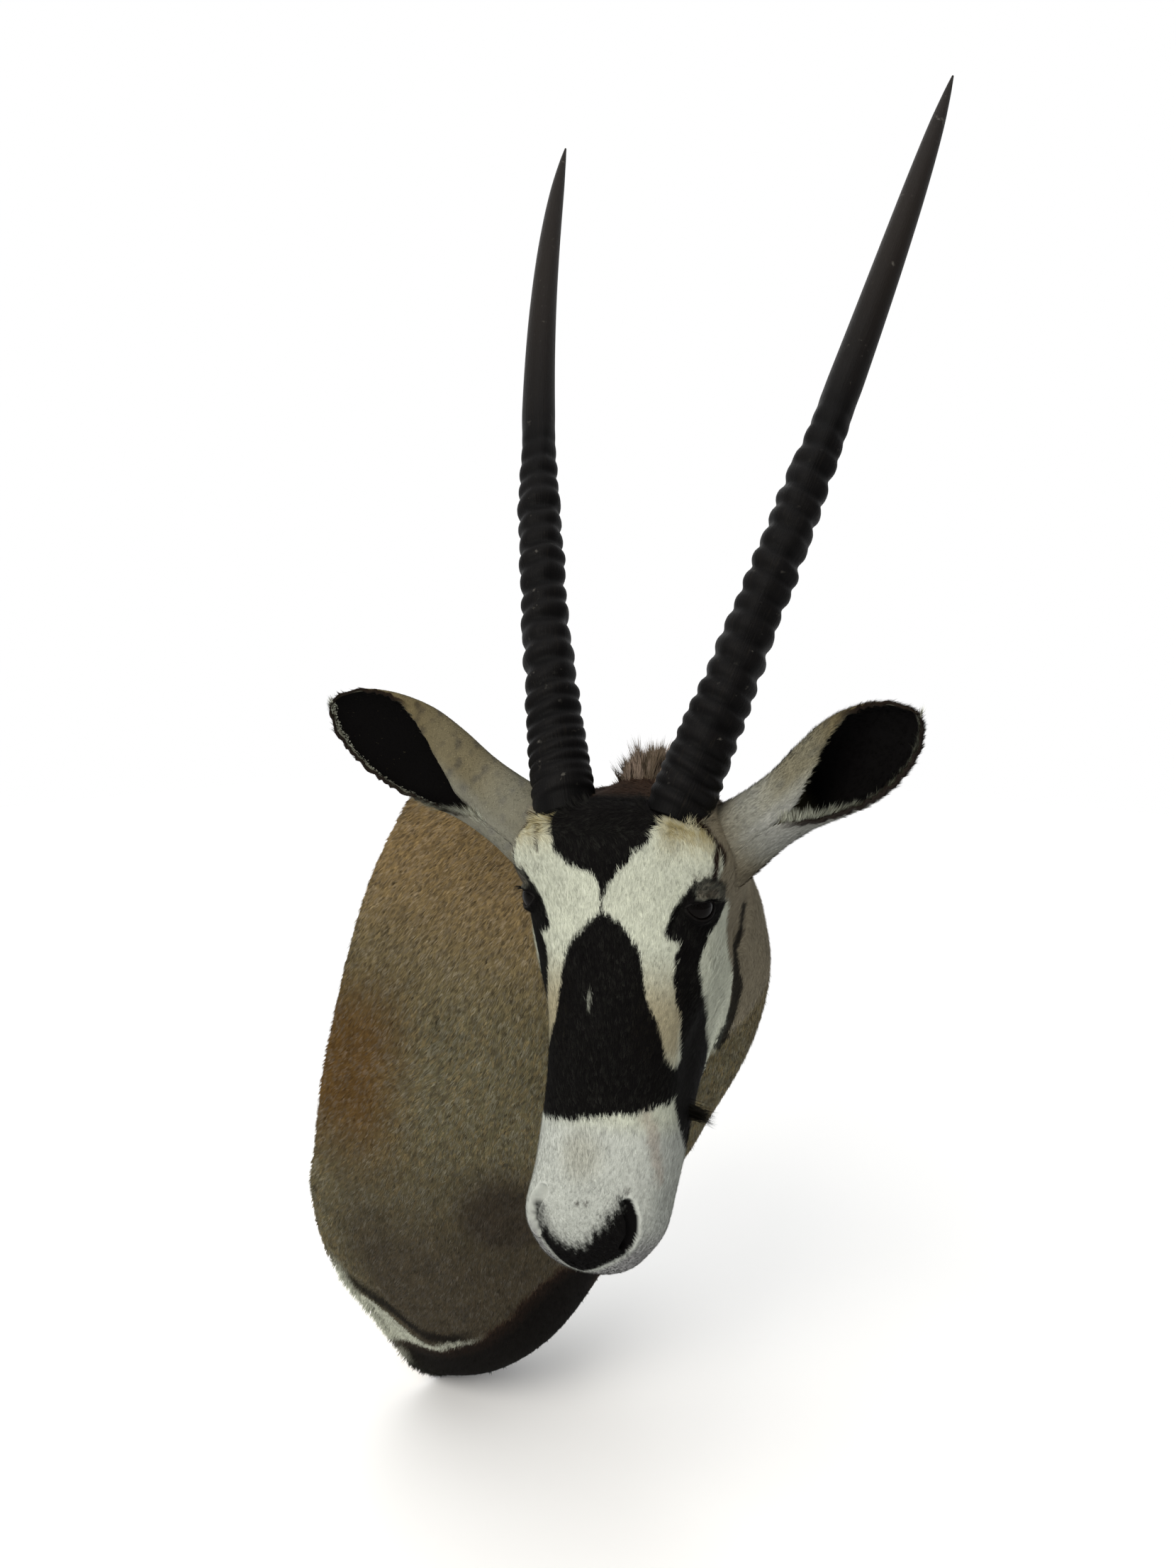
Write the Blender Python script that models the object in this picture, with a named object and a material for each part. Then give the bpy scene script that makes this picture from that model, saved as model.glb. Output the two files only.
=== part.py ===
"""Shoulder mount of a gemsbok: one tanned hide over its form, with two ringed horns and two glass
eyes, on a plywood back board with a steel hanger. Metres, +Z up. The wall is the plane y = 0, the
mount reaches from it towards -Y, and the animal's right side is -X."""

import bpy
import bmesh
import math
from mathutils import Matrix, Vector
from mathutils.geometry import intersect_point_line

GAP = 0.0003                      # clearance between pieces that touch
UP = Vector((0, 0, 1))

# Head: the middle of the forehead between the horns, and how the head is turned from facing -Y
HEAD_PLACE = Vector((-0.180, -0.454, 0.422))
HEAD_TURN = math.radians(69.5)    # towards the animal's right
HEAD_NOD = math.radians(16.0)     # nose forward of plumb
HEAD_TILT = math.radians(0.9)

# Horns, in head places: (side, towards the nose, above the face)
HORN_LENGTH = 0.907
HORN_BASE_SIDE = 0.0575
HORN_BASE_NOSE = -0.0028
HORN_BASE_RISE = -0.0301
HORN_SPREAD = math.radians(16.2)  # outwards at the base
HORN_SPREAD_LOSS = math.radians(9.8)
HORN_LEAN = math.radians(6.6)     # backwards at the base
HORN_LEAN_GAIN = math.radians(15.2)
HORN_DIAMETERS = ((0.0, 0.0585), (0.05, 0.0555), (0.13, 0.0480), (0.20, 0.0435), (0.32, 0.0410),
                  (0.44, 0.0375), (0.56, 0.0340), (0.68, 0.0300), (0.80, 0.0245), (0.90, 0.0170),
                  (0.965, 0.0085), (1.0, 0.0024))
RING_COUNT = 25
RING_END = 0.57                   # share of the length where the last ring fades out
RING_CROWDING = 1.30              # above 1 the rings stand closer at the base
RING_DEPTH = 0.0019
RING_SLANT = 0.10                 # how far a ring drops from back to front, per radius
HORN_SIDES = 12
SEAT_DEPTH = 0.026                # of the horn in the hide

# Head sections towards the nose:
# (place, top, widest level, bottom, half width, squareness above, squareness below)
HEAD_SECTIONS = (
    (-0.040, -0.088, -0.108, -0.130, 0.022, 1.00, 1.00),
    (-0.032, -0.066, -0.100, -0.150, 0.050, 1.05, 0.95),
    (-0.016, -0.038, -0.086, -0.168, 0.078, 1.00, 0.90),
    (0.000, -0.010, -0.068, -0.178, 0.093, 0.92, 0.85),
    (0.012, 0.004, -0.060, -0.184, 0.098, 0.84, 0.80),
    (0.030, 0.007, -0.050, -0.190, 0.104, 0.78, 0.74),
    (0.055, 0.006, -0.046, -0.195, 0.108, 0.78, 0.70),
    (0.080, 0.003, -0.054, -0.199, 0.099, 1.00, 0.64),
    (0.105, 0.001, -0.060, -0.202, 0.092, 1.04, 0.58),
    (0.130, 0.000, -0.066, -0.208, 0.088, 1.00, 0.50),
    (0.160, -0.001, -0.068, -0.209, 0.080, 0.96, 0.46),
    (0.200, 0.000, -0.062, -0.199, 0.068, 0.90, 0.46),
    (0.250, 0.001, -0.052, -0.172, 0.060, 0.86, 0.56),
    (0.300, 0.001, -0.046, -0.137, 0.060, 0.82, 0.70),
    (0.340, 0.000, -0.042, -0.122, 0.062, 0.80, 0.76),
    (0.372, -0.006, -0.040, -0.115, 0.063, 0.80, 0.80),
    (0.393, -0.018, -0.046, -0.108, 0.056, 0.84, 0.84),
    (0.408, -0.036, -0.058, -0.096, 0.040, 0.92, 0.92),
    (0.415, -0.054, -0.065, -0.082, 0.020, 1.00, 1.00),
)
HEAD_SIDES = 36
HEAD_STEP = 0.012

# Neck sections from the wall:
# (top point, bottom point, half width, turn of the section in degrees, pinch above, pinch below)
NECK_SECTIONS = (
    ((0.000, 0.020, 0.395), (0.000, 0.020, -0.414), 0.202, 0, 0.30, 0.40),
    ((0.000, -0.015, 0.394), (0.000, -0.020, -0.411), 0.201, 0, 0.30, 0.40),
    ((0.000, -0.070, 0.389), (0.002, -0.105, -0.370), 0.190, 0, 0.29, 0.36),
    ((-0.002, -0.130, 0.383), (0.005, -0.182, -0.302), 0.174, 2, 0.26, 0.27),
    ((-0.008, -0.195, 0.378), (0.010, -0.236, -0.215), 0.155, 6, 0.21, 0.19),
    ((-0.020, -0.265, 0.377), (0.014, -0.288, -0.130), 0.136, 12, 0.15, 0.17),
    ((-0.031, -0.340, 0.385), (0.010, -0.345, -0.040), 0.115, 24, 0.06, 0.17),
    ((-0.044, -0.390, 0.396), (-0.005, -0.400, 0.060), 0.104, 42, 0.00, 0.17),
    ((-0.078, -0.418, 0.403), (-0.040, -0.430, 0.150), 0.103, 57, -0.20, 0.12),
    ((-0.118, -0.432, 0.398), (-0.104, -0.440, 0.220), 0.078, 69, -0.12, 0.00),
)
# The upright mane along the top of the neck: (neck section, rise, half width)
MANE_SECTIONS = ((0.0, 0.014, 0.012), (2.0, 0.018, 0.014), (4.0, 0.026, 0.016), (5.5, 0.040, 0.018),
                 (6.5, 0.056, 0.020), (7.3, 0.068, 0.021), (8.0, 0.062, 0.019), (8.6, 0.048, 0.016),
                 (9.0, 0.030, 0.010))
MANE_ROOT = 0.020
MANE_SIDES = 10
MANE_STEP = 0.30
NECK_SIDES = 40
NECK_STEP = 0.25                  # of the way from one section to the next

# Ears, in head places: foot, and the way from the foot to the tip
EAR_FOOT = Vector((0.084, 0.036, -0.072))
EAR_REACH = {"left": Vector((0.183, -0.106, 0.100)), "right": Vector((0.207, -0.116, 0.095))}
EAR_BOW = {"left": -0.004, "right": -0.003}     # of the ear's middle line, across the ear
EAR_FACING = {"left": Vector((0.10, 0.10, 1.0)), "right": Vector((0.30, 0.15, 1.0))}
EAR_SECTIONS = (                  # (share of the length, half width, half depth)
    (-0.10, 0.050, 0.034), (0.05, 0.046, 0.031), (0.20, 0.040, 0.028), (0.36, 0.040, 0.027),
    (0.52, 0.048, 0.026), (0.66, 0.052, 0.024), (0.80, 0.046, 0.020), (0.91, 0.033, 0.015),
    (0.98, 0.016, 0.009), (1.00, 0.005, 0.004))
EAR_BREADTH = {"left": 0.78, "right": 0.92}
EAR_WALL = 0.005
EAR_SIDES = 18
EAR_CUP_START = 0.30

# Eyes, in head places
EYE_RADIUS = 0.0165
EYE_PLACE = Vector((0.0755, 0.090, -0.0360))

# Nostrils and mouth, in head places
NOSTRIL_PLACE = Vector((0.043, 0.372, -0.012))
NOSTRIL_SIZE = Vector((0.0070, 0.016, 0.012))

# Back board and hanger
BOARD_HALF_WIDTH = 0.140
BOARD_TOP = 0.290
BOARD_BOTTOM = -0.320
BOARD_THICK = 0.018
HANGER_CENTRE_Z = 0.200
HANGER_WIDE = 0.070
HANGER_TALL = 0.100
HANGER_THICK = 0.003
KEYHOLE_RADIUS = 0.0070
KEYHOLE_SLOT = 0.0035
KEYHOLE_RISE = 0.022
KEYHOLE_DROP = 0.012              # of the round hole below the hanger's middle
SCREW_ROOM_WIDE = 0.044           # hollow in the board behind the hanger
SCREW_ROOM_TALL = 0.060
SCREW_ROOM_DEEP = 0.013

REMESH_SIZE = 0.006
SMOOTH_ROUNDS = 6

# Where the head's back grows out of the neck, from the poll to the throat, in head places
NAPE = Vector((0.0, -0.030, -0.115))
THROAT = Vector((0.0, 0.130, -0.230))
BLEND_REACH = 0.125
BLEND_FADE = 0.050
BLEND_ROUNDS = 40


def clear_scene():
    for item in list(bpy.data.objects):
        bpy.data.objects.remove(item)


def material(name, colour, roughness, metallic=0.0):
    made = bpy.data.materials.new(name)
    made.use_nodes = True
    shader = made.node_tree.nodes["Principled BSDF"]
    shader.inputs["Base Color"].default_value = (*colour, 1.0)
    shader.inputs["Roughness"].default_value = roughness
    shader.inputs["Metallic"].default_value = metallic
    made.diffuse_color = (*colour, 1.0)
    return made


def add_object(name, mesh, finish=None, smooth=True):
    item = bpy.data.objects.new(name, mesh)
    bpy.context.scene.collection.objects.link(item)
    if finish:
        mesh.materials.append(finish)
    if smooth:
        mesh.shade_smooth()
    return item


def add_guide(name, mesh):
    """A cutter, or a form that another piece is joined from."""
    item = add_object(name, mesh, smooth=False)
    item.hide_render = True
    item.display_type = "WIRE"
    return item


def head_matrix():
    """From head places (side, towards the poll, above the face) to the world."""
    facing = Matrix(((1, 0, 0), (0, 0, -1), (0, 1, 0))).to_4x4()
    turn = Matrix.Rotation(-HEAD_TURN, 4, "Z")
    nod = Matrix.Rotation(-HEAD_NOD, 4, "X")
    tilt = Matrix.Rotation(-HEAD_TILT, 4, "Y")
    return Matrix.Translation(HEAD_PLACE) @ turn @ nod @ tilt @ facing


def in_head(side, nose, rise):
    return Vector((side, -nose, rise))


def between(stations, place):
    """Values at a place along stations of (place, values...), on a smooth curve through them."""
    last = len(stations) - 1
    index = max(i for i in range(last) if stations[i][0] <= place or i == 0)
    a, b = stations[max(index - 1, 0)], stations[index]
    c, d = stations[index + 1], stations[min(index + 2, last)]
    span = c[0] - b[0]
    t = min(max((place - b[0]) / span, 0.0), 1.0)
    values = []
    for k in range(1, len(b)):
        slope_b = (c[k] - a[k]) / (c[0] - a[0])
        slope_c = (d[k] - b[k]) / (d[0] - b[0])
        values.append((2 * t**3 - 3 * t**2 + 1) * b[k] + (t**3 - 2 * t**2 + t) * slope_b * span
                      + (3 * t**2 - 2 * t**3) * c[k] + (t**3 - t**2) * slope_c * span)
    return values


def signed_power(value, power):
    return math.copysign(abs(value) ** power, value)


def loft(name, rings):
    """A closed mesh through rings of as many points each, with a cap on each end."""
    bm = bmesh.new()
    loops = [[bm.verts.new(p) for p in ring] for ring in rings]
    count = len(loops[0])
    for near, far in zip(loops, loops[1:]):
        for k in range(count):
            bm.faces.new((near[k], near[(k + 1) % count], far[(k + 1) % count], far[k]))
    bm.faces.new(reversed(loops[0]))
    bm.faces.new(loops[-1])
    bmesh.ops.recalc_face_normals(bm, faces=bm.faces)
    mesh = bpy.data.meshes.new(name)
    bm.to_mesh(mesh)
    bm.free()
    return mesh


def head_form():
    """The head from the poll to the lips, as sections across the face."""
    frame = head_matrix()
    first, last = HEAD_SECTIONS[0][0], HEAD_SECTIONS[-1][0]
    steps = round((last - first) / HEAD_STEP)
    rings = []
    for step in range(steps + 1):
        nose = first + (last - first) * step / steps
        top, wide, bottom, half, square_above, square_below = between(HEAD_SECTIONS, nose)
        ring = []
        for k in range(HEAD_SIDES):
            angle = 2 * math.pi * k / HEAD_SIDES
            square = square_above if math.cos(angle) > 0 else square_below
            up = signed_power(math.cos(angle), square)
            out = signed_power(math.sin(angle), square)
            reach = top - wide if up > 0 else wide - bottom
            ring.append(frame @ in_head(half * out, nose, wide + reach * up))
        rings.append(ring)
    return loft("head_form", rings)


def neck_section(place):
    """Top, bottom, sideways direction, half width and pinches of the neck at a section number."""
    flat = [(i, *top, *bottom, *rest) for i, (top, bottom, *rest) in enumerate(NECK_SECTIONS)]
    values = between(flat, place)
    turn = math.radians(values[7])
    side = Vector((math.cos(turn), -math.sin(turn), 0.0))
    return Vector(values[0:3]), Vector(values[3:6]), side, values[6], values[8], values[9]


def neck_form():
    """The neck and shoulder from the wall to inside the head."""
    steps = round((len(NECK_SECTIONS) - 1) / NECK_STEP)
    rings = []
    for step in range(steps + 1):
        top, bottom, side, half, pinch_above, pinch_below = neck_section(step * NECK_STEP)
        centre = (top + bottom) / 2
        ring = []
        for k in range(NECK_SIDES):
            angle = 2 * math.pi * k / NECK_SIDES
            up, out = math.cos(angle), math.sin(angle)
            pinch = pinch_above if up > 0 else pinch_below
            out = out * (1.0 - pinch * (1.0 - out * out)) * (1.0 - 0.12 * up)
            ring.append(centre + (top - bottom) / 2 * up + side * half * out)
        rings.append(ring)
    return loft("neck_form", rings)


def mane_form():
    """The crest of upright hair, from the wall to behind the horns."""
    last = MANE_SECTIONS[-1][0]
    steps = round(last / MANE_STEP)
    rings = []
    for step in range(steps + 1):
        place = last * step / steps
        rise, half = between(MANE_SECTIONS, place)
        top, _, side, *_ = neck_section(place)
        centre = top + UP * (rise - MANE_ROOT) / 2
        ring = []
        for k in range(MANE_SIDES):
            angle = 2 * math.pi * k / MANE_SIDES
            ring.append(centre + UP * (rise + MANE_ROOT) / 2 * math.cos(angle) + side * half * math.sin(angle))
        rings.append(ring)
    return loft("mane_form", rings)


def ear_axes(side):
    """Foot, reach, width and facing directions of one ear, in head places."""
    sign = 1 if side == "left" else -1
    reach = EAR_REACH[side]
    foot = in_head(sign * EAR_FOOT.x, EAR_FOOT.y, EAR_FOOT.z)
    along = in_head(sign * reach.x, reach.y, reach.z)
    facing = EAR_FACING[side]
    out = in_head(sign * facing.x, facing.y, facing.z)
    out = (out - along * out.dot(along) / along.length_squared).normalized()
    across = along.cross(out).normalized()
    return foot, along, across, out


def ear_form(side, name, inset=0.0, lift=0.0, start=-0.10, end=1.0, steps=14):
    """An ear's rounded leaf, or with inset and lift the hollow of its cup."""
    frame = head_matrix()
    foot, along, across, out = ear_axes(side)
    rings = []
    for step in range(steps + 1):
        share = start + (end - start) * step / steps
        half, deep = between(EAR_SECTIONS, share)
        half = half * EAR_BREADTH[side]
        if inset:
            opened = min((share - start) / 0.25, 1.0)
            half = (half - inset) * (0.25 + 0.75 * opened ** 0.7)
            deep = deep * (0.35 + 0.65 * opened ** 0.7)
        half, deep = max(half, 0.0012), max(deep, 0.0012)
        bend = (out * -0.020 + across * EAR_BOW[side]) * math.sin(math.pi * max(share, 0.0))
        centre = foot + along * share + bend + out * lift
        ring = []
        for k in range(EAR_SIDES):
            angle = 2 * math.pi * k / EAR_SIDES
            ring.append(frame @ (centre + across * half * math.cos(angle) + out * deep * math.sin(angle)))
        rings.append(ring)
    return loft(name, rings)


def horn_centre(sign, share):
    """A point on a horn's middle line, in head places, and its direction there."""
    steps = 40
    point = in_head(sign * HORN_BASE_SIDE, HORN_BASE_NOSE, HORN_BASE_RISE)
    direction = None
    for step in range(steps + 1):
        s = share * (step + 0.5) / steps
        spread = HORN_SPREAD - HORN_SPREAD_LOSS * s
        lean = HORN_LEAN + HORN_LEAN_GAIN * s
        direction = in_head(sign * math.sin(spread), -math.cos(spread) * math.cos(lean),
                            -math.cos(spread) * math.sin(lean))
        if step < steps:
            point = point + direction * (HORN_LENGTH * share / steps)
    return point, direction


def horn_ring(sign, share, radius, slant=0.0):
    centre, direction = horn_centre(sign, share)
    forward = in_head(0, 0, 1)
    forward = (forward - direction * forward.dot(direction)).normalized()
    side = direction.cross(forward)
    points = []
    for k in range(HORN_SIDES):
        angle = 2 * math.pi * k / HORN_SIDES
        drop = direction * (-slant * radius * math.cos(angle))
        points.append(centre + (forward * math.cos(angle) + side * math.sin(angle)) * radius + drop)
    return points


def horn_mesh(sign, name):
    """A tapering horn whose lower half carries ring after ring, crowded at the base."""
    places = [(-SEAT_DEPTH / HORN_LENGTH, 0.0, 0.0), (0.0, 0.0, 1.0)]
    for ring in range(RING_COUNT):
        low = RING_END * (ring / RING_COUNT) ** RING_CROWDING
        high = RING_END * ((ring + 1) / RING_COUNT) ** RING_CROWDING
        fade = 1.0 - (ring / RING_COUNT) ** 3
        places.append((low + (high - low) * 0.45, RING_DEPTH * fade, 1.0))
        places.append((high, -RING_DEPTH * fade, 1.0))
    smooth_steps = 10
    for step in range(1, smooth_steps + 1):
        places.append((RING_END + (1 - RING_END) * (step / smooth_steps) ** 0.9, 0.0, 0.3))
    rings = []
    for share, swell, slant in places:
        radius = between(HORN_DIAMETERS, max(share, 0.0))[0] / 2 + swell
        rings.append(horn_ring(sign, share, radius, slant * RING_SLANT))
    return loft(name, rings)


def horn_seat(sign, name):
    """The hole that a horn's foot sits in, wider where the first rings begin."""
    tight = HORN_DIAMETERS[0][1] / 2 + GAP
    wide = tight + RING_DEPTH + GAP
    places = ((-SEAT_DEPTH - GAP, tight), (-0.006, tight), (-0.004, wide), (0.035, wide))
    return loft(name, [horn_ring(sign, way / HORN_LENGTH, radius) for way, radius in places])


def ball(name, radius, segments=16, rings=9):
    bm = bmesh.new()
    bmesh.ops.create_uvsphere(bm, u_segments=segments, v_segments=rings, radius=radius)
    mesh = bpy.data.meshes.new(name)
    bm.to_mesh(mesh)
    bm.free()
    return mesh


def box(name, size, centre):
    bm = bmesh.new()
    bmesh.ops.create_cube(bm, size=1.0)
    bmesh.ops.scale(bm, vec=size, verts=bm.verts)
    bmesh.ops.translate(bm, vec=centre, verts=bm.verts)
    mesh = bpy.data.meshes.new(name)
    bm.to_mesh(mesh)
    bm.free()
    return mesh


def slab(name, outline, near, far):
    """A plate from y = near to y = far with an outline of (x, z) points."""
    return loft(name, [[Vector((x, y, z)) for x, z in outline] for y in (near, far)])


def board_outline(grow=0.0, sides=36):
    middle = (BOARD_TOP + BOARD_BOTTOM) / 2
    tall = (BOARD_TOP - BOARD_BOTTOM) / 2 + grow
    points = []
    for k in range(sides):
        angle = 2 * math.pi * k / sides
        wide = (BOARD_HALF_WIDTH + grow) * (1.0 - 0.12 * math.cos(angle))
        points.append((wide * math.sin(angle), middle + tall * math.cos(angle)))
    return points


def boolean(item, operation, other):
    step = item.modifiers.new(other.name, "BOOLEAN")
    step.operation = operation
    step.object = other
    step.solver = "EXACT"


def soften(item, rounds, group=""):
    step = item.modifiers.new("soften", "SMOOTH")
    step.factor = 0.5
    step.iterations = rounds
    step.vertex_group = group


def body_form():
    """Head and neck in one skin, with a vertex group where one flows into the other."""
    raw = add_guide("raw_form", neck_form())
    boolean(raw, "UNION", add_guide("head_form", head_form()))
    skin = raw.modifiers.new("skin", "REMESH")
    skin.mode = "VOXEL"
    skin.voxel_size = REMESH_SIZE
    skin.use_smooth_shade = True
    mesh = bpy.data.meshes.new_from_object(raw.evaluated_get(bpy.context.evaluated_depsgraph_get()))

    to_head = head_matrix().inverted()
    nape, throat = in_head(*NAPE), in_head(*THROAT)
    flow = bpy.data.objects.new("hide", mesh)
    bpy.context.scene.collection.objects.link(flow)
    group = flow.vertex_groups.new(name="nape_and_throat")
    for corner in mesh.vertices:
        place = to_head @ corner.co
        nearest, share = intersect_point_line(place, nape, throat)
        nearest = nape.lerp(throat, min(max(share, 0.0), 1.0))
        weight = (BLEND_REACH - (place - nearest).length) / BLEND_FADE
        if weight > 0:
            group.add([corner.index], min(weight, 1.0), "REPLACE")
    return flow


def add_hide(finish):
    hide = body_form()
    hide.data.materials.clear()
    hide.data.materials.append(finish)
    soften(hide, BLEND_ROUNDS, "nape_and_throat")
    soften(hide, SMOOTH_ROUNDS)
    boolean(hide, "UNION", add_guide("mane_form", mane_form()))
    thin = hide.modifiers.new("thin", "DECIMATE")
    thin.ratio = 0.036

    frame = head_matrix()
    for side in ("left", "right"):
        sign = 1 if side == "left" else -1
        ear = add_guide(f"{side}_ear_form", ear_form(side, "ear"))
        hollow = ear_form(side, "hollow", inset=EAR_WALL, lift=EAR_WALL + 0.010, start=EAR_CUP_START,
                          end=0.965)
        boolean(ear, "DIFFERENCE", add_guide(f"{side}_ear_hollow", hollow))
        boolean(hide, "UNION", ear)
        socket = add_guide(f"{side}_eye_socket", ball("socket", EYE_RADIUS + GAP))
        socket.matrix_world = frame @ Matrix.Translation(in_head(sign * EYE_PLACE.x, *EYE_PLACE.yz))
        boolean(hide, "DIFFERENCE", socket)
        seat = add_guide(f"{side}_horn_seat", horn_seat(sign, "seat"))
        seat.matrix_world = frame
        boolean(hide, "DIFFERENCE", seat)
        nostril = add_guide(f"{side}_nostril", ball("nostril", 1.0, 12, 8))
        nostril.data.transform(Matrix.Diagonal((*NOSTRIL_SIZE, 1.0)))
        place = in_head(sign * NOSTRIL_PLACE.x, *NOSTRIL_PLACE.yz)
        nostril.matrix_world = frame @ Matrix.Translation(place) @ Matrix.Rotation(sign * 0.5, 4, "Z")
        boolean(hide, "DIFFERENCE", nostril)

    boolean(hide, "DIFFERENCE", add_guide("wall_side", box("wall", (1.2, 0.2, 1.4), (0, 0.1, 0))))
    pocket = slab("pocket", board_outline(GAP), 0.05, -BOARD_THICK - GAP)
    boolean(hide, "DIFFERENCE", add_guide("board_pocket", pocket))
    return hide


def add_horns(finish):
    for side, sign in (("left", 1), ("right", -1)):
        horn = add_object(f"{side}_horn", horn_mesh(sign, f"{side}_horn"), finish)
        horn.parent = bpy.data.objects["head"]


def add_eyes(finish):
    for side, sign in (("left", 1), ("right", -1)):
        eye = add_object(f"{side}_eye", ball(f"{side}_eye", EYE_RADIUS), finish)
        eye.parent = bpy.data.objects["head"]
        eye.location = in_head(sign * EYE_PLACE.x, *EYE_PLACE.yz)


def keyhole_outline(sides=16):
    """A round hole for the screw head with a narrow slot above it."""
    radius, slot = KEYHOLE_RADIUS, KEYHOLE_SLOT
    start = math.asin(slot / radius)
    points = []
    for k in range(sides + 1):
        angle = start + (2 * math.pi - 2 * start) * k / sides
        points.append((radius * math.sin(angle), HANGER_CENTRE_Z - KEYHOLE_DROP + radius * math.cos(angle)))
    top = HANGER_CENTRE_Z - KEYHOLE_DROP + KEYHOLE_RISE
    for k in range(7):
        angle = -math.pi / 2 + math.pi * k / 6
        points.append((slot * math.sin(angle), top + slot * math.cos(angle)))
    return points


def add_board(board_finish, steel_finish):
    board = add_object("back_board", slab("back_board", board_outline(), 0.0, -BOARD_THICK), board_finish,
                       smooth=False)
    recess = box("recess", (HANGER_WIDE + 2 * GAP, 2 * (HANGER_THICK + GAP), HANGER_TALL + 2 * GAP),
                 (0, 0, HANGER_CENTRE_Z))
    boolean(board, "DIFFERENCE", add_guide("hanger_recess", recess))
    room = box("room", (SCREW_ROOM_WIDE, 2 * SCREW_ROOM_DEEP, SCREW_ROOM_TALL), (0, 0, HANGER_CENTRE_Z))
    boolean(board, "DIFFERENCE", add_guide("screw_head_room", room))

    plate = box("hanger", (HANGER_WIDE, HANGER_THICK, HANGER_TALL), (0, -HANGER_THICK / 2, HANGER_CENTRE_Z))
    hanger = add_object("hanger", plate, steel_finish, smooth=False)
    boolean(hanger, "DIFFERENCE", add_guide("keyhole", slab("keyhole", keyhole_outline(), 0.01, -0.01)))


clear_scene()
head = bpy.data.objects.new("head", None)
head.matrix_world = head_matrix()
bpy.context.scene.collection.objects.link(head)
add_hide(material("tanned_hide", (0.21, 0.17, 0.11), 0.9))
add_horns(material("horn", (0.015, 0.012, 0.010), 0.45))
add_eyes(material("eye_glass", (0.01, 0.008, 0.007), 0.08))
add_board(material("plywood", (0.45, 0.30, 0.16), 0.75), material("steel", (0.55, 0.55, 0.55), 0.35, 1.0))
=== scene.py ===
"""The looks of a gemsbok shoulder mount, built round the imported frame. Metres, +Z up, wall at y = 0."""

import math

import bmesh
import bpy
import numpy as np
from mathutils import Matrix, Vector
from mathutils.kdtree import KDTree


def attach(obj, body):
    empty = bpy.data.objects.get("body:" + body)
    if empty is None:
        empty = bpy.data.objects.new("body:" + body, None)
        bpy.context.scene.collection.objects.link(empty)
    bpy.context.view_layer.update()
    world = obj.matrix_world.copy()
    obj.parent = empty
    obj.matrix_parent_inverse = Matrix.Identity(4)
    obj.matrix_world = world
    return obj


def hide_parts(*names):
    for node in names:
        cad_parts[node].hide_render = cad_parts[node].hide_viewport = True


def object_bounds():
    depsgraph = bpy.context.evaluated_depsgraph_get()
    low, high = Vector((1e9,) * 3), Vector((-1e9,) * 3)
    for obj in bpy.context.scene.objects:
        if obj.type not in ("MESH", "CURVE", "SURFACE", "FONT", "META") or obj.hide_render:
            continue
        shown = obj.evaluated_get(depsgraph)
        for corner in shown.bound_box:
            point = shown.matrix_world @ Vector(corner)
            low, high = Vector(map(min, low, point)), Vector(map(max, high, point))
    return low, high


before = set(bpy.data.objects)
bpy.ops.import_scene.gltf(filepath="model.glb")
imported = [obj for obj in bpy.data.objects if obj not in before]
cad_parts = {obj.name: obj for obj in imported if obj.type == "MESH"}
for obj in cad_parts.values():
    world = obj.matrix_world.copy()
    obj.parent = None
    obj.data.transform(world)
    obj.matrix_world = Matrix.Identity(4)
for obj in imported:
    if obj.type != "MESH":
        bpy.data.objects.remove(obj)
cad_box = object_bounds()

# ---- Camera, studio light and floor -------------------------------------------------------------
# The view is a little above the animal's nose, from its right front. Three large softboxes and a pale
# room light it. The floor is plain and pale, and only just reaches the lowest hair.

PHOTO_TALL = 2212                      # pixels
FOCAL_PIXELS = 1661
SENSOR = 36.0                          # mm, along the picture's height
CAMERA_PLACE = Vector((-0.956, -1.151, 0.562))
CAMERA_AZIMUTH = math.radians(-47)
CAMERA_RISE = math.radians(7)

camera = bpy.data.objects.new("camera", bpy.data.cameras.new("camera"))
bpy.context.scene.collection.objects.link(camera)
camera.data.sensor_fit = "VERTICAL"
camera.data.sensor_height = SENSOR
camera.data.lens = SENSOR * FOCAL_PIXELS / PHOTO_TALL
camera.location = CAMERA_PLACE
camera.rotation_euler = (math.pi / 2 - CAMERA_RISE, 0, CAMERA_AZIMUTH)
bpy.context.scene.camera = camera
bpy.context.scene.view_settings.view_transform = "Standard"


def linear(hex_colour):
    """An sRGB hex colour as linear red, green, blue and alpha."""
    parts = [int(hex_colour[k:k + 2], 16) / 255 for k in (1, 3, 5)]
    return (*[((p + 0.055) / 1.055) ** 2.4 if p > 0.04045 else p / 12.92 for p in parts], 1.0)


def add_node(tree, kind, inputs=None, out=0, **settings):
    """One output of a new node with its settings, its values and the links into it."""
    node = tree.nodes.new("ShaderNode" + kind)
    for name, value in settings.items():
        setattr(node, name, value)
    for name, value in (inputs or {}).items():
        if isinstance(value, bpy.types.NodeSocket):
            tree.links.new(value, node.inputs[name])
        else:
            node.inputs[name].default_value = value
    return node.outputs[out]


COLOUR_MIX = {"data_type": "RGBA", "out": 2}


def new_material(name):
    """An empty material, its tree and its Principled shader."""
    made = bpy.data.materials.new(name)
    made.use_nodes = True
    return made, made.node_tree, made.node_tree.nodes["Principled BSDF"]


def link_mesh(name, mesh):
    """An object in the scene that shows a mesh."""
    item = bpy.data.objects.new(name, mesh)
    bpy.context.scene.collection.objects.link(item)
    return item


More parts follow.
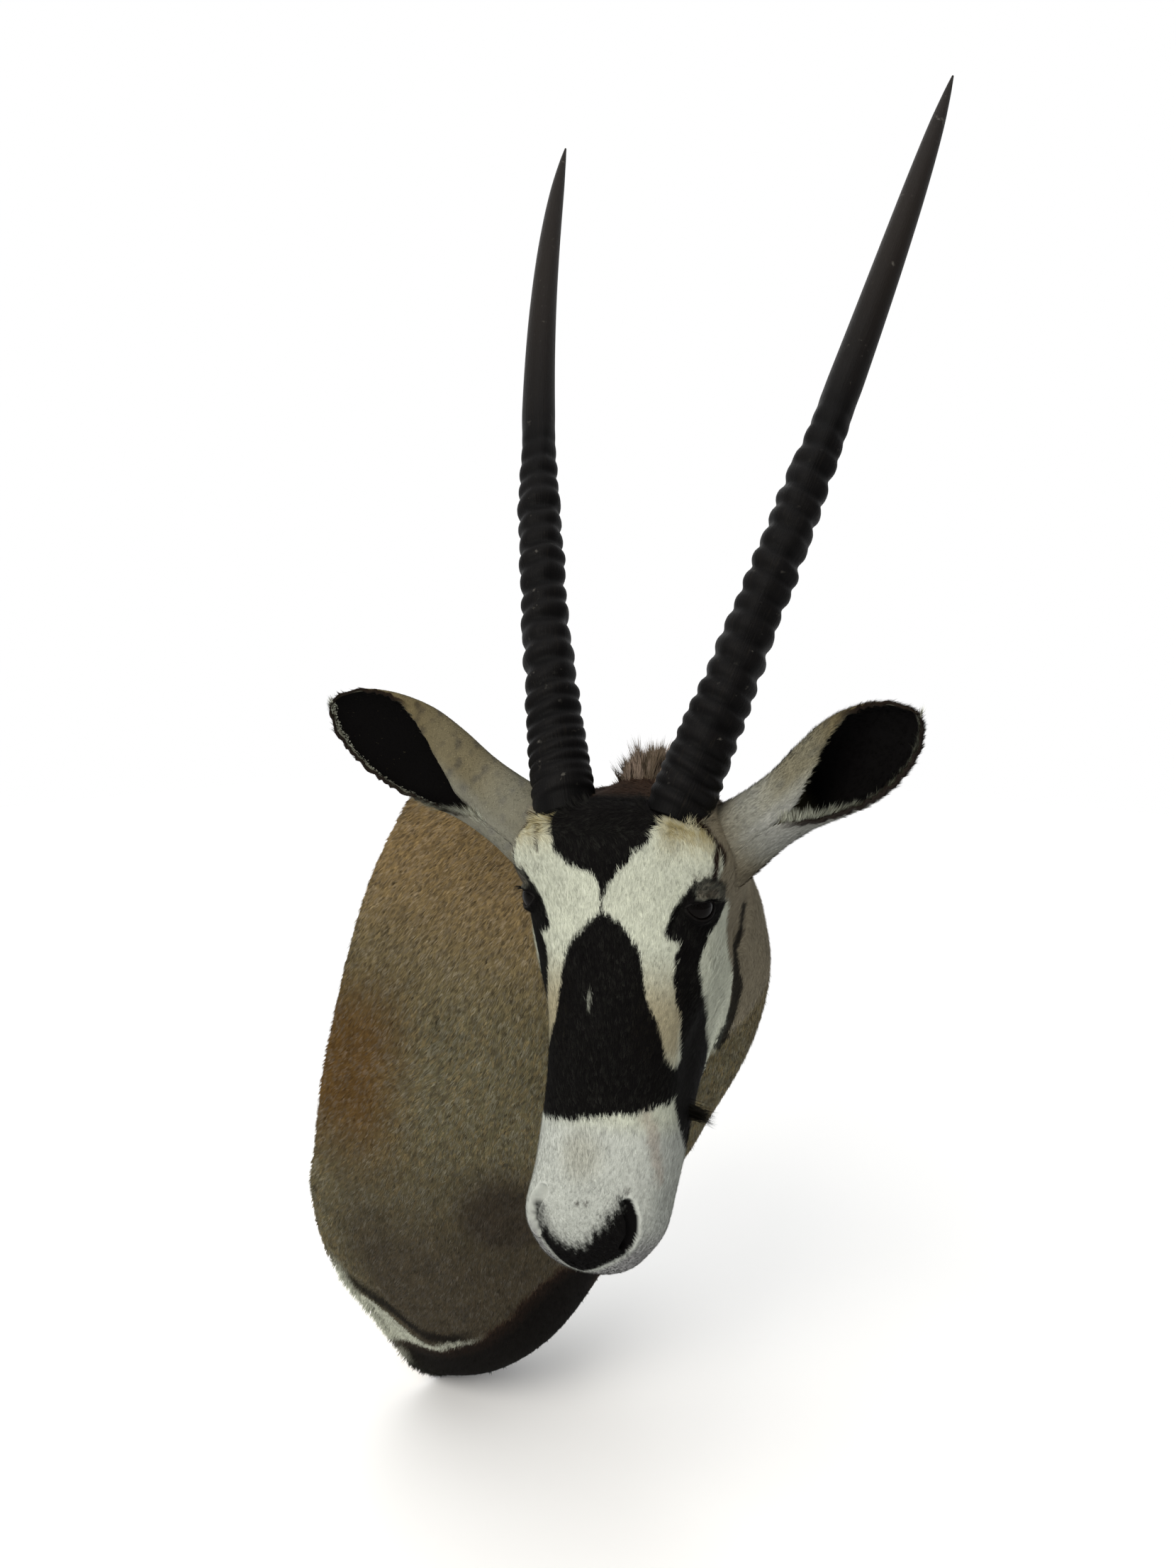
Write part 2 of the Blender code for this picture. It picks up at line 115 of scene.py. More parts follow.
def softbox(name, place, target, wide, tall, watts, tint):
    """A square lamp that shines from its place to its target."""
    light = bpy.data.lights.new(name, "AREA")
    light.shape = "RECTANGLE"
    light.size, light.size_y = wide, tall
    light.energy = watts
    light.color = linear(tint)[:3]
    item = bpy.data.objects.new(name, light)
    item.location = place
    item.rotation_euler = (Vector(target) - Vector(place)).to_track_quat("-Z", "Y").to_euler()
    bpy.context.scene.collection.objects.link(item)


softbox("key_softbox", (-2.3, -0.9, 1.9), (-0.1, -0.3, 0.3), 1.5, 1.5, 60, "#fffaf2")
softbox("top_softbox", (-0.4, -0.9, 3.2), (-0.2, -0.5, 0.0), 1.8, 1.8, 26, "#ffffff")
softbox("back_softbox", (1.2, 1.6, 2.2), (0, -0.1, 0.3), 1.4, 1.4, 5, "#ffffff")

# The room is white, and dimmer towards the animal's left, where its windows are shaded
SHADED_WAY = (0.110, -0.991, 0.073)
world = bpy.data.worlds.new("pale_room")
world.use_nodes = True
room = world.node_tree.nodes["Background"]
room.inputs["Color"].default_value = linear("#ffffff")
way = add_node(world.node_tree, "TexCoord", out="Generated")
shaded = add_node(world.node_tree, "VectorMath", {0: way, 1: SHADED_WAY}, out="Value",
                  operation="DOT_PRODUCT")
strength = add_node(world.node_tree, "MapRange", {"Value": shaded, "From Min": -0.15, "From Max": 0.75,
                                                  "To Min": 1.0, "To Max": 0.45},
                    interpolation_type="SMOOTHSTEP")
world.node_tree.links.new(strength, room.inputs["Strength"])
bpy.context.scene.world = world

FLOOR_HALF = 6.0
FLOOR_GAP = 0.003                      # under the solids, for the low hair
bm = bmesh.new()
bmesh.ops.create_grid(bm, x_segments=1, y_segments=1, size=FLOOR_HALF)
floor_mesh = bpy.data.meshes.new("floor")
bm.to_mesh(floor_mesh)
bm.free()
floor = link_mesh("floor", floor_mesh)
floor.location = (0, 0, cad_box[0][2] - FLOOR_GAP)
paint, tree, shader = new_material("matt_white_floor_paint")
shader.inputs["Roughness"].default_value = 0.9
shader.inputs["Emission Color"].default_value = linear("#ffffff")
# Away from the mount the floor glows white, as painted light, and so runs into the white room without an
# edge
spot = add_node(tree, "TexCoord", out="Object")
away = add_node(tree, "VectorMath", {0: spot}, out="Value", operation="LENGTH")
floor_glow = add_node(tree, "MapRange", {"Value": away, "From Min": 0.5, "From Max": 2.0},
                interpolation_type="SMOOTHSTEP")
paint_colour = add_node(tree, "Mix", {0: floor_glow, 6: linear("#fafaf9"), 7: linear("#000000")}, **COLOUR_MIX)
tree.links.new(paint_colour, shader.inputs["Base Color"])
# Painted light: the floor glows with this strength, none beside the mount and full white two metres off
tree.links.new(floor_glow, shader.inputs["Emission Strength"])
floor_mesh.materials.append(paint)

# ---- Hide: head and neck --------------------------------------------------------------------------
# One tanned hide, glued over a rigid form and stitched up behind the neck, with short hair. The head
# and the neck are lofts through the same sections as the solids, fused in one skin. The skin lies a
# hair's depth under the solid, so that the hair tips reach it.

HEAD_PLACE = Vector((-0.180, -0.454, 0.422))
HEAD_TURN = math.radians(69.5)
HEAD_NOD = math.radians(16.0)
HEAD_TILT = math.radians(0.9)
# (place towards the nose, top, widest level, bottom, half width, squareness above and below)
HEAD_SECTIONS = (
    (-0.040, -0.088, -0.108, -0.130, 0.022, 1.00, 1.00),
    (-0.032, -0.066, -0.100, -0.150, 0.050, 1.05, 0.95),
    (-0.016, -0.038, -0.086, -0.168, 0.078, 1.00, 0.90),
    (0.000, -0.010, -0.068, -0.178, 0.093, 0.92, 0.85),
    (0.012, 0.004, -0.060, -0.184, 0.098, 0.84, 0.80),
    (0.030, 0.007, -0.050, -0.190, 0.104, 0.78, 0.74),
    (0.055, 0.006, -0.046, -0.195, 0.108, 0.78, 0.70),
    (0.080, 0.003, -0.054, -0.199, 0.099, 1.00, 0.64),
    (0.105, 0.001, -0.060, -0.202, 0.092, 1.04, 0.58),
    (0.130, 0.000, -0.066, -0.208, 0.088, 1.00, 0.50),
    (0.160, -0.001, -0.068, -0.209, 0.080, 0.96, 0.46),
    (0.200, 0.000, -0.062, -0.199, 0.068, 0.90, 0.46),
    (0.250, 0.001, -0.052, -0.172, 0.062, 0.86, 0.56),
    (0.300, 0.001, -0.046, -0.137, 0.063, 0.82, 0.70),
    (0.340, 0.000, -0.042, -0.122, 0.062, 0.80, 0.76),
    (0.372, -0.006, -0.040, -0.115, 0.063, 0.80, 0.80),
    (0.393, -0.018, -0.046, -0.108, 0.053, 0.86, 0.84),
    (0.411, -0.036, -0.058, -0.096, 0.040, 0.92, 0.92),
    (0.420, -0.052, -0.064, -0.080, 0.020, 1.00, 1.00),
)
# (top point, bottom point, half width, turn of the section in degrees, pinch above and below)
NECK_SECTIONS = (
    ((0.000, 0.020, 0.395), (0.000, 0.020, -0.414), 0.202, 0, 0.30, 0.40),
    ((0.000, -0.015, 0.394), (0.000, -0.020, -0.411), 0.201, 0, 0.30, 0.40),
    ((0.000, -0.070, 0.389), (0.002, -0.105, -0.370), 0.190, 0, 0.29, 0.36),
    ((-0.002, -0.130, 0.383), (0.005, -0.182, -0.302), 0.174, 2, 0.26, 0.27),
    ((-0.008, -0.195, 0.378), (0.010, -0.236, -0.215), 0.155, 6, 0.21, 0.19),
    ((-0.020, -0.265, 0.377), (0.014, -0.288, -0.130), 0.136, 12, 0.15, 0.17),
    ((-0.031, -0.340, 0.385), (0.010, -0.345, -0.040), 0.115, 24, 0.06, 0.17),
    ((-0.044, -0.390, 0.396), (-0.005, -0.400, 0.060), 0.104, 42, 0.00, 0.17),
    ((-0.078, -0.418, 0.403), (-0.040, -0.430, 0.150), 0.103, 57, -0.20, 0.12),
    ((-0.118, -0.432, 0.398), (-0.104, -0.440, 0.220), 0.078, 69, -0.12, 0.00),
)
# The mounted muzzle is a little out of line: (place towards the nose, shift to the animal's left)
MUZZLE_SHIFT = ((0.095, 0.0), (0.125, 0.0025), (0.150, 0.0055), (0.180, 0.0070), (0.230, 0.0080),
                (0.265, 0.0095), (0.295, 0.0105), (0.320, 0.0095), (0.345, 0.0070), (0.370, 0.0045),
                (0.395, 0.0005), (0.420, -0.0040))
NAPE = np.array((0.0, -0.030, -0.115))      # in head places, where the neck flows into the head
THROAT = np.array((0.0, 0.130, -0.230))
BLEND_REACH = 0.125
BLEND_FADE = 0.050
BLEND_ROUNDS, SMOOTH_ROUNDS, FACE_ROUNDS = 46, 7, 6
SKIN_GRID = 0.0058
BACK_CUT = -0.0006                     # the skin ends this far off the wall
BODY_HAIR_DEPTH = 0.0026
FACE_HAIR_DEPTH = 0.0010

facing = Matrix(((1, 0, 0), (0, 0, -1), (0, 1, 0))).to_4x4()
head_matrix = (Matrix.Translation(HEAD_PLACE) @ Matrix.Rotation(-HEAD_TURN, 4, "Z")
               @ Matrix.Rotation(-HEAD_NOD, 4, "X") @ Matrix.Rotation(-HEAD_TILT, 4, "Y") @ facing)
HEAD_TURNED = np.array(head_matrix.to_3x3()) @ np.diag((1.0, -1.0, 1.0))
HEAD_ORIGIN = np.array(HEAD_PLACE)


def muzzle_shift(nose):
    """How far the middle of the face lies to the animal's left, at a place towards the nose."""
    return np.interp(nose, *zip(*MUZZLE_SHIFT))


def from_head(places):
    """World points of (side, nose, rise) places; side is towards the animal's left."""
    places = np.array(places, float)
    places[..., 0] += muzzle_shift(places[..., 1])
    return places @ HEAD_TURNED.T + HEAD_ORIGIN


def to_head(points):
    """(side, nose, rise) places of world points."""
    places = (np.asarray(points, float) - HEAD_ORIGIN) @ HEAD_TURNED
    places[..., 0] -= muzzle_shift(places[..., 1])
    return places


def between(stations, place):
    """Values at a place along stations of (place, values...), on a smooth curve through them."""
    last = len(stations) - 1
    index = max(i for i in range(last) if stations[i][0] <= place or i == 0)
    a, b = stations[max(index - 1, 0)], stations[index]
    c, d = stations[index + 1], stations[min(index + 2, last)]
    span = c[0] - b[0]
    t = min(max((place - b[0]) / span, 0.0), 1.0)
    values = []
    for k in range(1, len(b)):
        slope_b = (c[k] - a[k]) / (c[0] - a[0])
        slope_c = (d[k] - b[k]) / (d[0] - b[0])
        values.append((2 * t**3 - 3 * t**2 + 1) * b[k] + (t**3 - 2 * t**2 + t) * slope_b * span
                      + (3 * t**2 - 2 * t**3) * c[k] + (t**3 - t**2) * slope_c * span)
    return values


def join_rings(rings, closed=True):
    """Points and faces of a surface through rings of as many points each, with end caps if closed."""
    rings = np.asarray(rings, float)
    count, sides = rings.shape[:2]
    index = np.arange(count * sides).reshape(count, sides)
    onward = np.roll(index, -1, axis=1)
    quads = np.stack([index[:-1], onward[:-1], onward[1:], index[1:]], axis=-1).reshape(-1, 4)
    faces = [tuple(q) for q in quads.tolist()]
    if closed:
        faces += [tuple(index[0][::-1].tolist()), tuple(index[-1].tolist())]
    return rings.reshape(-1, 3), faces


def mesh_object(name, points, faces):
    """A smooth object of points and faces."""
    mesh = bpy.data.meshes.new(name)
    mesh.from_pydata([tuple(p) for p in points], [], faces)
    mesh.shade_smooth()
    return link_mesh(name, mesh)


def full_turn(sides):
    """Angles evenly round a full turn."""
    return 2 * np.pi * np.arange(sides) / sides


def head_rings(sides=84, step=0.006):
    """Rings of world points round the head, from its back to the lips."""
    first, last = HEAD_SECTIONS[0][0], HEAD_SECTIONS[-1][0]
    angle = full_turn(sides)
    rings = []
    for nose in np.linspace(first, last, round((last - first) / step) + 1):
        top, wide, bottom, half, square_above, square_below = between(HEAD_SECTIONS, nose)
        square = np.where(np.cos(angle) > 0, square_above, square_below)
        up = np.sign(np.cos(angle)) * np.abs(np.cos(angle)) ** square
        out = np.sign(np.sin(angle)) * np.abs(np.sin(angle)) ** square
        rise = wide + np.where(up > 0, top - wide, wide - bottom) * up
        rings.append(from_head(np.stack([half * out, np.full(sides, nose), rise], axis=1)))
    return rings


def neck_section(place):
    """Top, bottom, sideways direction, half width and pinches of the neck at a section number."""
    flat = [(i, *top, *bottom, *rest) for i, (top, bottom, *rest) in enumerate(NECK_SECTIONS)]
    values = between(flat, place)
    turn = math.radians(values[7])
    side = np.array((math.cos(turn), -math.sin(turn), 0.0))
    return np.array(values[0:3]), np.array(values[3:6]), side, values[6], values[8], values[9]


def neck_rings(sides=96, step=0.125):
    """Rings of world points round the neck, from the wall to the head."""
    angle = full_turn(sides)
    rings = []
    for place in np.arange(0, len(NECK_SECTIONS) - 1 + step / 2, step):
        top, bottom, side, half, pinch_above, pinch_below = neck_section(place)
        up, out = np.cos(angle), np.sin(angle)
        pinch = np.where(up > 0, pinch_above, pinch_below)
        out = out * (1 - pinch * (1 - out * out)) * (1 - 0.12 * up)
        rings.append((top + bottom) / 2 + np.outer(up, (top - bottom) / 2) + np.outer(half * out, side))
    return rings


def mesh_arrays(mesh):
    """Points, edges and point normals of a mesh."""
    points = np.empty(len(mesh.vertices) * 3, np.float32)
    mesh.vertices.foreach_get("co", points)
    edges = np.empty(len(mesh.edges) * 2, np.int32)
    mesh.edges.foreach_get("vertices", edges)
    normals = np.empty(len(mesh.vertices) * 3, np.float32)
    mesh.vertex_normals.foreach_get("vector", normals)
    return points.reshape(-1, 3).astype(float), edges.reshape(-1, 2), normals.reshape(-1, 3).astype(float)


def put_points(mesh, points):
    """Moves a mesh's points."""
    mesh.vertices.foreach_set("co", points.astype(np.float32).ravel())
    mesh.update()


def relax(points, edges, weight, rounds):
    """Smooths points towards their neighbours, each by its weight."""
    count = np.bincount(edges.ravel(), minlength=len(points))
    for _ in range(rounds):
        mean = np.empty_like(points)
        for k in range(3):
            mean[:, k] = (np.bincount(edges[:, 0], points[edges[:, 1], k], len(points))
                          + np.bincount(edges[:, 1], points[edges[:, 0], k], len(points)))
        mean /= np.maximum(count, 1)[:, None]
        points = points + (mean - points) * (0.5 * weight)[:, None]
    return points


def path_distance(points, path):
    """Distance of each point from a line through a path's points."""
    nearest = np.full(len(points), np.inf)
    path = np.array(path, float)
    for start, way in zip(path, np.diff(path, axis=0)):
        share = np.clip((points - start) @ way / (way @ way), 0, 1)
        nearest = np.minimum(nearest, np.linalg.norm(points - start - share[:, None] * way, axis=1))
    return nearest


def unit(ways):
    """Directions of length 1."""
    return ways / np.maximum(np.linalg.norm(ways, axis=-1, keepdims=True), 1e-9)


def folded(places):
    """Head places with the animal's right laid over its left."""
    return np.stack([np.abs(places[:, 0]), places[:, 1], places[:, 2]], axis=1)


def ease(value, low, high):
    """0 below low, 1 above high and smooth between; low may be above high."""
    t = np.clip((value - low) / (high - low), 0, 1)
    return t * t * (3 - 2 * t)


def subdivide_where(mesh, wanted):
    """Cuts each face of a mesh in four where all its points are wanted."""
    bm = bmesh.new()
    bm.from_mesh(mesh)
    edges = [e for e in bm.edges if wanted[e.verts[0].index] and wanted[e.verts[1].index]]
    bmesh.ops.subdivide_edges(bm, edges=edges, cuts=1, use_grid_fill=True)
    bm.to_mesh(mesh)
    bm.free()


EYE_PLACE = np.array((0.0755, 0.090, -0.0360))
EYE_RADIUS = 0.0165

head_points, head_faces = join_rings(head_rings())
neck_points, neck_faces = join_rings(neck_rings())
neck_faces = [tuple(k + len(head_points) for k in face) for face in neck_faces]
form = mesh_object("form", np.vstack([head_points, neck_points]), head_faces + neck_faces)
fuse = form.modifiers.new("fuse", "REMESH")
fuse.mode = "VOXEL"
fuse.voxel_size = SKIN_GRID
bpy.context.view_layer.update()
skin_mesh = bpy.data.meshes.new_from_object(form.evaluated_get(bpy.context.evaluated_depsgraph_get()))
bpy.data.objects.remove(form)

points, edges, _ = mesh_arrays(skin_mesh)
distance = path_distance(to_head(points), (NAPE, THROAT))
points = relax(points, edges, np.clip((BLEND_REACH - distance) / BLEND_FADE, 0, 1), BLEND_ROUNDS)
put_points(skin_mesh, relax(points, edges, np.ones(len(points)), SMOOTH_ROUNDS))

bm = bmesh.new()
bm.from_mesh(skin_mesh)
bmesh.ops.bisect_plane(bm, geom=bm.verts[:] + bm.edges[:] + bm.faces[:], dist=1e-5,
                       plane_co=(0, BACK_CUT, 0), plane_no=(0, 1, 0), clear_outer=True)
bm.to_mesh(skin_mesh)
bm.free()

# The head's skin is cut finer, and finer again round the eyes and on the muzzle
_, nose, rise = to_head(mesh_arrays(skin_mesh)[0]).T
subdivide_where(skin_mesh, (nose > -0.02) & (rise > -0.215 + 0.3 * np.maximum(0.1 - nose, 0)))
place = folded(to_head(mesh_arrays(skin_mesh)[0]))
side, nose, rise = place.T
muzzle = (nose > 0.335) & (side > 0.008) | (nose > 0.375)
subdivide_where(skin_mesh, (np.linalg.norm(place - EYE_PLACE, axis=1) < 0.036) | muzzle & (rise > -0.09))
points, edges, _ = mesh_arrays(skin_mesh)
points = relax(points, edges, ease(to_head(points)[:, 1], -0.04, 0.0), FACE_ROUNDS)
put_points(skin_mesh, points)

# Shapes worked into the form under the hide: (side, nose, rise), reach each way, height
SWELLS = (
    ((0.088, 0.066, -0.012), (0.022, 0.026, 0.022), 0.0045),      # brow over the eye
    ((0.086, 0.028, -0.040), (0.020, 0.022, 0.030), -0.0040),     # temple
    ((0.078, 0.150, -0.056), (0.016, 0.060, 0.014), 0.0028),      # cheek crest
    ((0.064, 0.225, -0.070), (0.020, 0.040, 0.026), -0.0030),     # hollow before the cheek
    ((0.084, 0.130, -0.120), (0.030, 0.050, 0.044), 0.0030),      # chewing muscle
    ((0.000, 0.210, 0.000), (0.020, 0.100, 0.020), 0.0012),       # bridge of the nose
    ((0.040, 0.200, -0.006), (0.012, 0.080, 0.020), -0.0012),
    ((0.047, 0.358, -0.020), (0.014, 0.024, 0.018), 0.0036),      # wing of the nostril
    ((0.020, 0.350, -0.002), (0.016, 0.024, 0.014), -0.0016),
    ((0.045, 0.372, -0.052), (0.022, 0.022, 0.014), 0.0020),      # upper lip
    ((0.000, 0.392, -0.088), (0.032, 0.018, 0.014), 0.0030),      # chin
    ((0.050, 0.340, -0.086), (0.020, 0.040, 0.014), 0.0016),      # lower lip
)
# Behind the right horn the poll is hollow, because the tuft grows left of the middle: as above
POLL_HOLLOW = ((-0.040, -0.030, -0.062), (0.022, 0.030, 0.045), -0.010)
# World places. The hide is drawn in along the throat: points, reach and depth
THROAT_LINE = ((0.026, -0.390, 0.022), (0.023, -0.423, 0.073), (0.017, -0.452, 0.122),
               (0.004, -0.493, 0.194), (-0.012, -0.512, 0.260))
THROAT_REACH, THROAT_DEPTH = 0.036, 0.0085
# On its right side it isn't even along the wall: (rise, how far it stands out), for this depth of hide
WALL_EDGE = ((-0.38, 0.000), (-0.34, -0.009), (-0.28, -0.009), (-0.255, -0.006), (-0.22, 0.000),
             (-0.195, 0.003), (-0.17, 0.008), (-0.12, 0.009), (-0.074, 0.008), (-0.035, -0.002),
             (0.016, -0.006), (0.067, -0.008), (0.10, -0.010), (0.15, -0.009), (0.21, -0.005), (0.28, 0.000))
WALL_EDGE_DEPTH = 0.10
# Creases: points as above, half width and depth
MOUTH = ((0.000, 0.414, -0.064), (0.030, 0.404, -0.066), (0.052, 0.384, -0.069), (0.061, 0.350, -0.076),
         (0.060, 0.315, -0.085), (0.058, 0.290, -0.092))
TEAR = ((0.068, 0.096, -0.018), (0.064, 0.107, -0.018), (0.060, 0.117, -0.018))
BROW_CRACK = ((0.076, 0.018, -0.014), (0.086, 0.021, -0.020), (0.092, 0.029, -0.021), (0.097, 0.036, -0.024),
              (0.101, 0.043, -0.027), (0.102, 0.051, -0.027))
BROW_FOLD = ((0.099, 0.039, -0.022), (0.097, 0.050, -0.018), (0.096, 0.066, -0.021))
JAW_LINE = ((0.094, 0.110, -0.112), (0.090, 0.135, -0.130), (0.084, 0.160, -0.155), (0.074, 0.190, -0.190))
CREASES = ((MOUTH, 0.0042, 0.0042), (TEAR, 0.0060, 0.0030), (BROW_CRACK, 0.0030, 0.0018),
           (BROW_FOLD, 0.0026, 0.0014),
           (JAW_LINE, 0.0140, 0.0028), (((0, 0.398, -0.024), (0, 0.414, -0.060)), 0.0035, 0.0018))

_, _, normals = mesh_arrays(skin_mesh)
place = to_head(points)
lift = np.zeros(len(points))
for centre, reach, height in SWELLS:
    lift += height * np.exp(-(((folded(place) - centre) / reach) ** 2).sum(axis=1))
centre, reach, height = POLL_HOLLOW
lift += height * np.exp(-(((place - centre) / reach) ** 2).sum(axis=1))
for line, half, depth in CREASES:
    lift -= depth * np.clip(1 - (path_distance(folded(place), line) / half) ** 2, 0, 1) ** 2
on_head = ease(place[:, 1], -0.06, 0.02)
lift -= FACE_HAIR_DEPTH * on_head + BODY_HAIR_DEPTH * (1 - on_head)
at_throat = np.exp(-(path_distance(points, THROAT_LINE) / THROAT_REACH) ** 2)
lift -= THROAT_DEPTH * at_throat * ease(place[:, 1], 0.36, 0.30)
points[:, 0] -= (np.interp(points[:, 2], *zip(*WALL_EDGE)) * ease(points[:, 1], -WALL_EDGE_DEPTH, -0.02)
                 * ease(points[:, 0], -0.02, -0.10))
points = points + normals * lift[:, None]

# Eyelids: the skin hugs the glass outside an opening that is flat above and round below
EYE_FACING = unit(np.array((0.79, 0.085, 0.62)))
SLIT_WAY = np.array((0.70, -0.25, -0.62))      # from the inner to the outer corner
SLIT_WAY = unit(SLIT_WAY - EYE_FACING * (SLIT_WAY @ EYE_FACING))
LID_DOWN = np.cross(SLIT_WAY, EYE_FACING)
LID_DOWN *= np.sign(LID_DOWN[1])               # towards the nose
SLIT_HALF = math.radians(62)
CORNER_LEVEL = math.radians(-9)
UPPER_LID = math.radians(-21)
LOWER_LID = math.radians(40)
LID_THICK = 0.0016
LID_FULL, LID_FADE = 1.05, 1.75        # the skin hugs the glass within these angles
EYE_NEAR = 0.05
SLIT_DEPTH = 0.004                     # the skin in the opening lies this far inside the glass


def eye_angles(places):
    """How far each place lies from the eye's facing, along the slit and down, in radians."""
    way = places - EYE_PLACE
    reach = np.linalg.norm(way, axis=1)
    way = way / reach[:, None]
    turn = np.arccos(np.clip(way @ EYE_FACING, -1, 1))
    along, down = way @ SLIT_WAY, way @ LID_DOWN
    size = np.maximum(np.hypot(along, down), 1e-9)
    return turn * along / size, turn * down / size, reach


def lid_edges(along):
    """Upper and lower edge of the opening at places along the slit."""
    t = np.abs(np.clip(along / SLIT_HALF, -1, 1))
    return (CORNER_LEVEL + (UPPER_LID - CORNER_LEVEL) * (1 - t**5) ** 0.8,
            CORNER_LEVEL + (LOWER_LID - CORNER_LEVEL) * (1 - t**2.2) ** 0.75)


place = to_head(points)
handed = np.where(place[:, 0] < 0, -1.0, 1.0)
mirrored = folded(place)
along, down, reach = eye_angles(mirrored)
upper, lower = lid_edges(along)
inside = (np.abs(along) < SLIT_HALF) & (down > upper) & (down < lower)
turn = np.hypot(along, down)
lid_reach = np.maximum(reach, EYE_RADIUS + LID_THICK + 0.0012 * ease(turn, 1.0, 0.7))
lidded = reach + (lid_reach - reach) * ease(turn, LID_FADE, LID_FULL)
wanted = np.where(inside, EYE_RADIUS - SLIT_DEPTH, lidded)
near_eye = (turn < LID_FADE) & (reach < EYE_NEAR)
moved = np.where(near_eye[:, None], EYE_PLACE + unit(mirrored - EYE_PLACE) * wanted[:, None], mirrored)
moved[:, 0] *= handed
points = from_head(moved)

# Nostrils: a slanting comma-shaped pit on each side of the nose
NOSTRIL = ((0.0390, 0.346, -0.008), (0.0440, 0.356, -0.011), (0.0450, 0.368, -0.015),
           (0.0400, 0.380, -0.020))
NOSTRIL_WAY = unit(np.array((-0.8, -0.35, -0.5)))
NOSTRIL_HALF, NOSTRIL_DEPTH = 0.0062, 0.009
RIM_PLACE, RIM_HALF, RIM_RISE = 0.0075, 0.0022, 0.0012
mirrored = folded(to_head(points))
nearest = path_distance(mirrored, NOSTRIL)
pit = NOSTRIL_DEPTH * np.clip(1 - (nearest / NOSTRIL_HALF) ** 2, 0, 1) ** 0.7
rim = RIM_RISE * np.exp(-((nearest - RIM_PLACE) / RIM_HALF) ** 2)
mirrored += NOSTRIL_WAY * (pit - rim)[:, None]
mirrored[:, 0] *= handed
put_points(skin_mesh, from_head(mirrored))

# ---- Markings ---------------------------------------------------------------------------------------
# A gemsbok's coat: fawn-grey, with a white face that carries a black forehead patch, a black nose
# patch and a black stripe from each eye to the corner of the mouth. Each share is worked out from the
# place on the animal, in cm, so that skin and hair take the same colour.

# Outlines of (girth from the middle line, to the animal's left; place towards the nose)
FOREHEAD_PATCH = ((-5.7, -4), (-5.7, 1.5), (-5.3, 3.3), (-4.9, 5.1), (-3.4, 6.4), (-2.0, 6.8), (-1.1, 7.0),
                  (-0.4, 7.7), (-0.05, 8.6), (0.05, 10.8), (0.24, 10.8), (0.34, 8.8), (0.6, 8.1), (1.2, 7.1),
                  (2.2, 6.1), (3.1, 5.0), (4.1, 4.1), (4.5, 2.8), (5.2, 1.8), (5.7, 0.5), (5.7, -4))
NOSE_PATCH = ((0.2, 10.3), (-0.9, 11.2), (-2.7, 12.5), (-4.0, 13.6), (-5.2, 15.3), (-5.8, 17.9),
              (-6.5, 20.5), (-8.0, 22.3), (-11.0, 23.4), (-13.5, 25.2), (-12.0, 27.6), (-8.0, 28.6),
              (-5.2, 28.7), (-2.0, 28.4), (0.3, 27.9), (2.4, 27.4), (4.6, 27.2), (7.0, 26.6), (9.2, 26.3),
              (11.0, 25.5), (10.5, 23.3), (9.5, 23.2), (8.1, 22.6), (7.1, 20.3), (6.4, 18.9), (5.5, 18.2),
              (4.9, 17.1), (4.5, 14.7), (3.8, 13.1), (2.9, 12.1), (1.7, 11.1))
# Outlines that both sides share, (girth, place towards the nose)
CHEEK_STRIPE = ((11.8, 6.4), (9.2, 7.0), (8.6, 8.6), (7.9, 9.9), (7.5, 11.6), (8.2, 12.2), (9.1, 12.7),
                (8.3, 13.7), (8.2, 15.3), (8.7, 17.3), (10.1, 19.3), (10.2, 20.8), (11.3, 22.6),
                (10.3, 23.4), (10.3, 26.8), (11.5, 28.4), (13.2, 29.9), (15.0, 31.0), (16.6, 29.4),
                (18.4, 27.4), (19.5, 25.5), (19.9, 23.4), (19.4, 21.6), (17.4, 20.2), (16.4, 18.6),
                (13.0, 16.7), (11.9, 14.6), (12.2, 13.0), (13.2, 11.6), (14.9, 9.9), (15.6, 8.5),
                (14.4, 7.0))
WHITE_FACE = ((-2, -0.6), (7.8, -0.6), (9.0, 1.2), (10.4, 1.8), (11.2, 2.6), (12.0, 3.4), (12.7, 4.2),
              (12.9, 5.2), (12.5, 6.8), (15.4, 8.0), (16.9, 8.8), (17.7, 11.4), (18.9, 13.1), (23.0, 15.8),
              (26.7, 19.7), (28.7, 23.4), (40, 24), (40, 48), (-2, 48))
REAR_LINE = ((21.9, 8.4), (21.8, 10.8), (21.2, 12.4), (22.7, 14.2), (25.0, 16.2), (26.6, 19.0), (27.6, 21.4))
EAR_LINE = ((26.0, 7.6), (24.0, 6.9), (22.4, 7.6), (21.8, 8.6))
# Outlines of (side from the middle line, place towards the nose)
NOSE_RIM = ((-4.5, 33.6), (-4.7, 35.9), (-4.6, 36.9), (-3.9, 38.3), (-3.0, 39.6), (-2.1, 40.6), (-1.2, 41.3),
            (-0.1, 41.6), (1.4, 40.9), (2.7, 40.0), (4.0, 39.0), (4.8, 37.9), (5.0, 36.6), (4.8, 35.4),
            (4.3, 34.4), (3.7, 33.6))
NOSE_PAD = ((-4.25, 33), (-4.3, 35.4), (-4.1, 36.8), (-3.2, 38.0), (-2.1, 38.8), (-1.1, 39.2), (-0.1, 39.2),
            (0.7, 38.8), (1.2, 38.1), (2.0, 37.0), (2.7, 35.9), (3.4, 35.0), (3.3, 34.5), (3.6, 33))
